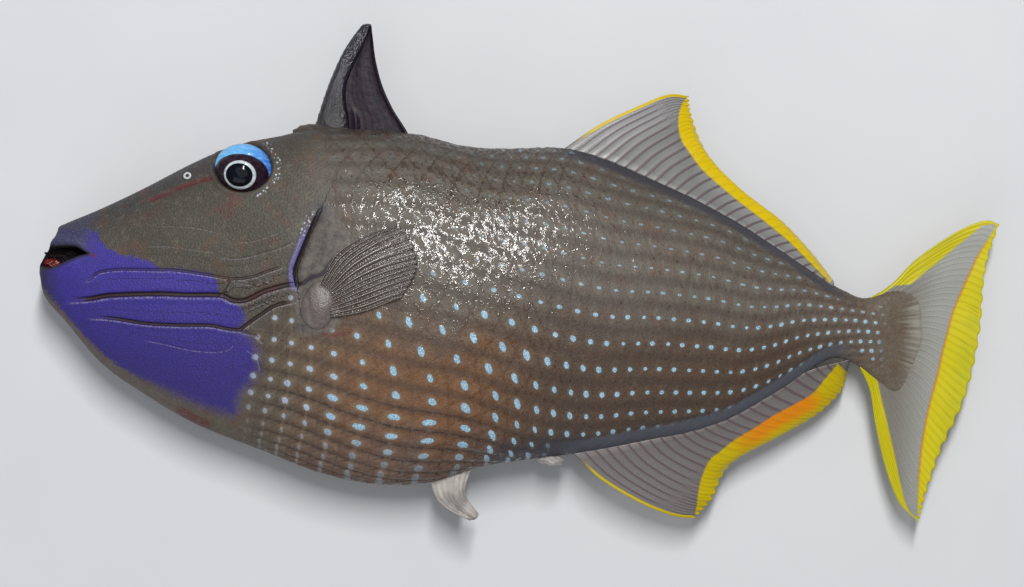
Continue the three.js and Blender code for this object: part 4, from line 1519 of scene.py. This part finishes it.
    # The wet film lies in islands between the slanting ridges, widest on the middle of the flank
    film = r.plus(r.noise(place, 1.25, 3.0, 0.6), r.times(ridge, 0.17))
    middle_flank = r.span(x, -34, -18, -4, 16)
    dry = r.minus(0.76, r.times(middle_flank, 0.17))
    film = r.step(r.minus(film, dry), -0.03, 0.04)
    film = r.times(film, r.plus(0.25, r.times(scaled, 0.75)))
    gloss = r.minus(0.62, r.times(film, 0.5))
    gloss = r.plus(gloss, r.times(r.step(lip, 0.1, -0.15), 0.4))
    r.feed(surface.inputs["Roughness"], gloss)
    coarse = r.group("wet_grain", Place=place, Scale=1.35)
    rough = r.both(scaled, r.step(row, 4.5, 1.0), r.step(x, 26, 6))
    relief = r.times(grain["Height"], r.plus(0.1, r.times(scaled, 0.05)))
    wear = r.plus(0.06, r.times(scaled, 0.16))
    wear = r.plus(wear, r.times(rough, 0.04))
    relief = r.plus(relief, r.times(coarse["Height"], wear))
    relief = r.plus(relief, r.times(r.both(ridge, rough), 0.16))
    relief = r.minus(relief, r.times(cut, 2.5))
    relief = r.minus(relief, r.times(slit, 3.0))
    relief = r.plus(relief, r.times(r.both(dot, r.step(row, 4, 1)), 0.25))
    bump(r, surface, relief, 0.12)
    return material


def make_eye_finish():
    material, r, surface = new_finish(
        "wet_eye", roughness=0.08, coat=0.05, coat_roughness=0.03, specular=0.28)
    place = r.place()
    x, y, z = r.parts(place)
    cloud = r.noise(place, 0.9, 4.0, 0.6)
    streak = r.noise(r.vector(r.times(x, 0.35), y), 2.2, 4.0, 0.6)
    fade = r.step(r.plus(x, r.times(y, -0.4)), -56.0, -47.0)
    blue = r.mix(fade, EYE_SKY, EYE_BLUE)
    blue = r.lay(blue, EYE_STREAK, r.step(streak, 0.42, 0.66), 0.4)
    rim = r.plus(r.oval(x, y, EYE_OPENING), r.swing(cloud, 0.05))
    blue = r.lay(blue, EYE_RIM, r.step(rim, 0.93, 0.99))
    # Painted shade on the part of the eyeball that sinks into its socket
    sunk = r.step(r.gap(z, MEDIAN_Z), 5.5, 4.9)
    blue = r.lay(blue, EYE_SOCKET_SHADE, sunk)
    below = r.step(y, 13.6, 12.2)
    colour = r.mix(below, blue, EYE_LOWER)
    iris_colour = r.mix(r.step(cloud, 0.4, 0.66), IRIS_DARK, IRIS_BROWN)
    edge = r.plus(r.oval(x, y, IRIS), r.swing(cloud, 0.06))
    colour = r.lay(colour, iris_colour, r.step(edge, 1.03, 0.98))
    uneven = r.plus(r.oval(x, y, RING), r.swing(streak, 0.05))
    fleck = r.mix(r.step(streak, 0.35, 0.7), RING_GREY, RING_WHITE)
    colour = r.lay(colour, fleck, r.step(uneven, 1.02, 0.97))
    pupil = r.oval(x, y, PUPIL)
    colour = r.lay(colour, PUPIL_BLACK, r.step(pupil, 1.03, 0.96))
    # Painted reflection: a faint bluish sheen in the middle of the pupil
    pupil_reflection = r.both(r.step(pupil, 0.85, 0.3), r.step(cloud, 0.45, 0.7))
    colour = r.lay(colour, PUPIL_REFLECTION, pupil_reflection, 0.35)
    r.feed(surface.inputs["Base Color"], colour)
    bump(r, surface, r.plus(cloud, streak), 0.03, 0.3)
    return material


# Soft fins: finish, golden colour, fork of the rays, orange part of the margin, membrane and ray colours
YELLOW_FINS = {
    "second_dorsal_fin": ("dorsal_rays", (234, 204, 6), 0.62, None, (150, 152, 150), (98, 82, 88)),
    "anal_fin": ("anal_rays", (214, 190, 10), 0.62, (0.5, 0.72), (140, 134, 132), (98, 82, 88)),
    "tail_fin": ("tail_rays", (220, 208, 0), 0.45, None, (182, 184, 178), (160, 161, 155)),
}
MEMBRANE_COVER = 0.496  # how much of what lies behind a clear membrane it hides


def make_yellow_fin_finish(name, tint, fork, orange, grey, ray):
    """Clear membrane between dark rays, with a golden margin."""
    material, r, surface = new_finish(name, roughness=0.4, coat=0.08, coat_roughness=0.14, specular=0.3)
    place = r.place()
    x = r.parts(place)[0]
    phase, along, _ = r.attribute("rays")
    yellow, second, share = r.attribute("paint")
    rays = r.group("fin_rays", Ray=phase, Along=along, Fork=fork)
    grain = r.group("wet_grain", Place=place, Scale=3.0)
    ray_colour = r.mix(r.both(rays["Joints"], 0.35), ray, shade(ray, 34))
    clear = r.mix(r.times(rays["Streaks"], 0.8), grey, shade(grey, -30))
    colour = r.mix(rays["Ray Mask"], clear, ray_colour)
    if name == "tail_rays":
        fading = r.plus(x, r.swing(rays["Streaks"], 6.0))
        colour = r.lay(colour, TAIL_ROOT, r.step(fading, 71.5, 64.5))
    golden = r.mix(rays["Streaks"], tint, shade(tint, -24))
    green = r.both(r.step(yellow, 1.2, 5.5), r.step(grain["Cloud"], 0.3, 0.7))
    golden = r.lay(golden, FIN_GREEN, green, 0.5)
    golden = r.lay(golden, shade(tint, -44), rays["Ray Mask"], 0.3)
    uneven = r.swing(rays["Streaks"], 0.5)
    border = r.step(r.plus(yellow, uneven), -0.12, 0.2)
    if orange:
        zone = r.span(share, orange[0] - 0.1, orange[0] + 0.05, orange[1], orange[1] + 0.1)
        golden = r.lay(golden, FIN_ORANGE, zone, r.step(yellow, 3.4, 1.4), 0.9)
    if name == "tail_rays":
        thin = r.both(r.step(second, 0.55, 0.15), r.span(share, 0.02, 0.15, 0.8, 1.0))
        golden = r.lay(golden, TAIL_SEAM, thin, 0.75)
        olive = r.both(r.step(second, 1.5, 4.0), r.step(rays["Streaks"], 0.45, 0.7))
        golden = r.lay(golden, TAIL_OLIVE, olive, 0.5)
    else:
        leading = r.step(second, -0.05, 0.12)
        border = r.most(border, r.both(leading, r.step(along, 0.05, 0.2)))
    colour = r.lay(colour, golden, border)
    r.feed(surface.inputs["Base Color"], colour)
    solid = r.most(r.times(border, 0.97), r.times(rays["Ray Mask"], 0.9))
    base = r.step(along, 0.16, 0.02)
    solid = r.most(solid, base)
    veil = r.plus(MEMBRANE_COVER, r.times(rays["Streaks"], 0.2))
    r.feed(surface.inputs["Alpha"], r.most(solid, veil))
    r.feed(surface.inputs["Roughness"], r.plus(0.28, r.times(grain["Cloud"], 0.2)))
    height = r.plus(r.times(rays["Ray Mask"], 0.7), r.times(grain["Height"], 0.25))
    height = r.plus(height, r.times(r.both(rays["Joints"], rays["Ray Mask"]), 0.15))
    bump(r, surface, height, 0.08, 0.6)
    return material


def make_pectoral_finish():
    material, r, surface = new_finish("pectoral_rays", roughness=0.22, specular=0.8)
    place = r.place()
    phase, along, _ = r.attribute("rays")
    rays = r.group("fin_rays", Ray=phase, Along=along, Fork=0.7)
    grain = r.group("wet_grain", Place=place, Scale=2.6)
    membrane = r.mix(r.step(grain["Cloud"], 0.35, 0.7), FAN_PALE, FAN_BROWN)
    pale = r.mix(rays["Joints"], FAN_RAY, FAN_JOINT)
    colour = r.mix(rays["Ray Mask"], membrane, pale)
    off_ray = r.off_whole(phase)
    edge = r.span(off_ray, 0.1, 0.22, 0.28, 0.42)
    colour = r.lay(colour, FAN_EDGE, edge, 0.75)
    r.feed(surface.inputs["Base Color"], colour)
    veil = r.most(r.times(rays["Ray Mask"], 0.95), 0.66)
    r.feed(surface.inputs["Alpha"], r.most(veil, r.step(along, 0.2, 0.05)))
    height = r.plus(rays["Ray Mask"], r.times(grain["Height"], 0.5))
    bump(r, surface, height, 0.12, 0.8)
    return material


# Wet flesh and bare skin: light, dark and blush colours, roughness, grain, relief in mm and shine
FLESH = {
    "pectoral_base": ((124, 118, 112), (98, 88, 86), (132, 104, 100), 0.3, 2.2, 0.07, 0.6),
    "nostril_skin": ((222, 224, 226), (170, 172, 176), None, 0.3, 2.2, 0.07, 0.6),
    "spine_black": ((30, 28, 42), (14, 12, 20), (40, 34, 52), 0.12, 1.1, 0.2, 1.0),
    "membrane_black": ((34, 26, 38), (12, 8, 14), (84, 50, 46), 0.3, 0.5, 0.03, 0.1),
    "spine_sheath": ((82, 76, 68), (56, 50, 46), (112, 80, 56), 0.3, 2.2, 0.05, 0.5),
    "pelvic_skin": ((190, 184, 178), (140, 134, 130), (176, 150, 140), 0.3, 2.2, 0.07, 0.6),
    # The floor of the mouth is near black, as painted shade deep inside the mouth
    "mouth_floor": ((34, 16, 18), (12, 7, 10), (58, 22, 22), 0.6, 3.0, 0.1, 0.3),
    "mouth_flesh": ((126, 44, 38), (62, 20, 24), (150, 70, 60), 0.2, 3.0, 0.08, 0.8),
}


def make_flesh_finish(name):
    """Wet flesh or bare skin in two tones, with a blush."""
    light, dark, blush, roughness, grain_scale, depth, specular = FLESH[name]
    material, r, surface = new_finish(name, roughness=roughness, specular=specular)
    place = r.place()
    grain = r.group("wet_grain", Place=place, Scale=grain_scale)
    colour = r.mix(r.step(grain["Cloud"], 0.34, 0.68), light, dark)
    veins = r.noise(place, 1.1, 6.0, 0.75)
    colour = r.lay(colour, dark, r.step(veins, 0.56, 0.7), 0.4)
    if blush:
        colour = r.lay(colour, blush, r.step(veins, 0.48, 0.3), 0.45)
    colour = r.lay(colour, shade(light, 26), grain["Specks"], 0.2)
    r.feed(surface.inputs["Base Color"], colour)
    r.feed(surface.inputs["Roughness"], r.plus(roughness - 0.08, r.times(veins, 0.2)))
    bump(r, surface, r.plus(grain["Height"], r.times(veins, 1.5)), depth, 0.7)
    return material


def make_floor_finish():
    material, r, surface = new_finish("pale_floor", roughness=0.6, specular=0.3)
    place = r.place()
    cloud = r.noise(place, 0.03, 3.0)
    r.feed(surface.inputs["Base Color"], r.mix(cloud, FLOOR_GREY, FLOOR_PALE))
    bump(r, surface, r.noise(place, 2.0, 4.0), 0.02, 0.2)
    return material


# The studio: floor, soft lights and the camera that looks straight down
FLOOR_SIZE = 3.0
CAMERA_HEIGHT = 0.45
VIEW_WIDTH = 170.67
VIEW_CENTRE = (-0.73, -2.13)
VIEW_ROLL = 6.0
SENSOR_WIDTH = 36
# Each light: name, place and size in metres, watts and colour
LIGHTS = [
    ("key_light", (0.01, 0.25, 0.6), (0.05, 0.28), 3.2, (1.0, 0.99, 0.98)),
    ("top_light", (-0.05, -0.02, 0.9), (0.9, 0.7), 1.1, (0.98, 0.99, 1.0)),
    ("low_light", (-0.15, -0.6, 0.4), (0.6, 0.5), 0.7, (0.96, 0.97, 1.0)),
]
LIGHT_AIM = (-0.01, 0, 0.01)
SKY_COLOUR = (0.91, 0.93, 0.96, 1)
SKY_STRENGTH = 0.17


def make_studio():
    bpy.ops.object.select_all(action="DESELECT")
    bpy.ops.mesh.primitive_plane_add(size=FLOOR_SIZE, location=(0, 0, 0))
    floor = named(bpy.context.object, "floor")
    floor.data.materials.append(make_floor_finish())
    for name, place, (wide, high), watts, colour in LIGHTS:
        bpy.ops.object.light_add(type="AREA", location=place)
        light = bpy.context.object
        light.name = name
        light.data.shape = "RECTANGLE"
        light.data.size = wide
        light.data.size_y = high
        light.data.energy = watts
        light.data.color = colour
        aim = np.array(LIGHT_AIM) - np.array(place)
        flat = math.hypot(aim[0], aim[1])
        light.rotation_euler = (math.atan2(flat, -aim[2]), 0, math.atan2(aim[1], aim[0]) - math.pi / 2)
    world = bpy.data.worlds.new("studio")
    world.use_nodes = True
    sky = world.node_tree.nodes["Background"]
    sky.inputs[0].default_value = SKY_COLOUR
    sky.inputs[1].default_value = SKY_STRENGTH
    bpy.context.scene.world = world
    bpy.context.scene.view_settings.view_transform = "Standard"
    bpy.ops.object.camera_add(
        location=(VIEW_CENTRE[0] * MM, VIEW_CENTRE[1] * MM, MEDIAN_Z * MM + CAMERA_HEIGHT),
        rotation=(0, 0, math.radians(VIEW_ROLL)),
    )
    camera = bpy.context.object
    camera.name = "camera"
    camera.data.sensor_width = SENSOR_WIDTH
    camera.data.lens = SENSOR_WIDTH * CAMERA_HEIGHT / (VIEW_WIDTH * MM)
    camera.data.clip_start = 0.01
    bpy.context.scene.camera = camera


# Small rounded pieces: centre, radii and unevenness, and the flesh and slot of each
LUMPS = {
    "spine_sheath": ((-34.0, 20.9, MEDIAN_Z), (5.8, 1.9, 2.3), 0.05, "spine_sheath", "skin"),
    "vent_papilla": ((8.6, -29.0, MEDIAN_Z), (2.3, 0.9, 1.1), 0.12, "pelvic_skin", "pale_fins"),
    # The floor of the mouth is near black, as painted shade deep inside the mouth
    "mouth_floor": ((-75.0, -3.7, MEDIAN_Z - 1.4), (3.6, 1.5, 0.9), 0.3, "mouth_floor", "lips"),
    "mouth_lining": ((-77.6, -5.2, MEDIAN_Z - 0.9), (1.5, 0.85, 1.2), 0.16, "mouth_flesh", "lips"),
}


def finish_lump(name, flesh):
    centre, radii, unevenness, kind, slot = LUMPS[name]
    finish_piece(lump(name, centre, radii, unevenness), flesh[kind], slot)


def make_fish():
    make_speckle_group()
    make_ray_group()
    skin = make_skin_finish()
    flesh = {name: make_flesh_finish(name) for name in FLESH}
    finish_piece(make_skin(), skin, "skin", "head", "upper_lip", "lower_lip", "trunk", "tail_stalk")
    sides = (("left", True), ("right", False))
    for side, left in sides:
        finish_piece(make_body_scales(f"body_scales_{side}", left), skin, "skin")
        finish_piece(make_face_scales(f"face_scales_{side}", left), skin, "skin")
    eye, fan = make_eye_finish(), make_pectoral_finish()
    for side, left in sides:
        finish_piece(make_eye(f"eyeball_{side}", left), eye, "eyes", f"eye_{side}")
        pectoral = make_pectoral_fan(f"pectoral_fan_{side}", left)
        finish_piece(pectoral, fan, "pale_fins", f"pectoral_fin_{side}")
        base = make_pectoral_base(f"pectoral_base_{side}", left)
        finish_piece(base, flesh["pectoral_base"], "pale_fins")
        finish_piece(make_nostril(f"nostril_{side}", left), flesh["nostril_skin"], "skin")
    for node, piece in make_soft_fins().items():
        finish_piece(piece, make_yellow_fin_finish(*YELLOW_FINS[node]), "yellow_fins", node)
    finish_lump("spine_sheath", flesh)
    finish_piece(make_spine(), flesh["spine_black"], "spine", "dorsal_spine")
    finish_piece(make_web(), flesh["membrane_black"], "spine", "dorsal_spine_membrane")
    finish_piece(make_pelvic_flap(), flesh["pelvic_skin"], "pale_fins", "pelvic_flap")
    for name in ("vent_papilla", "mouth_floor", "mouth_lining"):
        finish_lump(name, flesh)


make_studio()
make_fish()
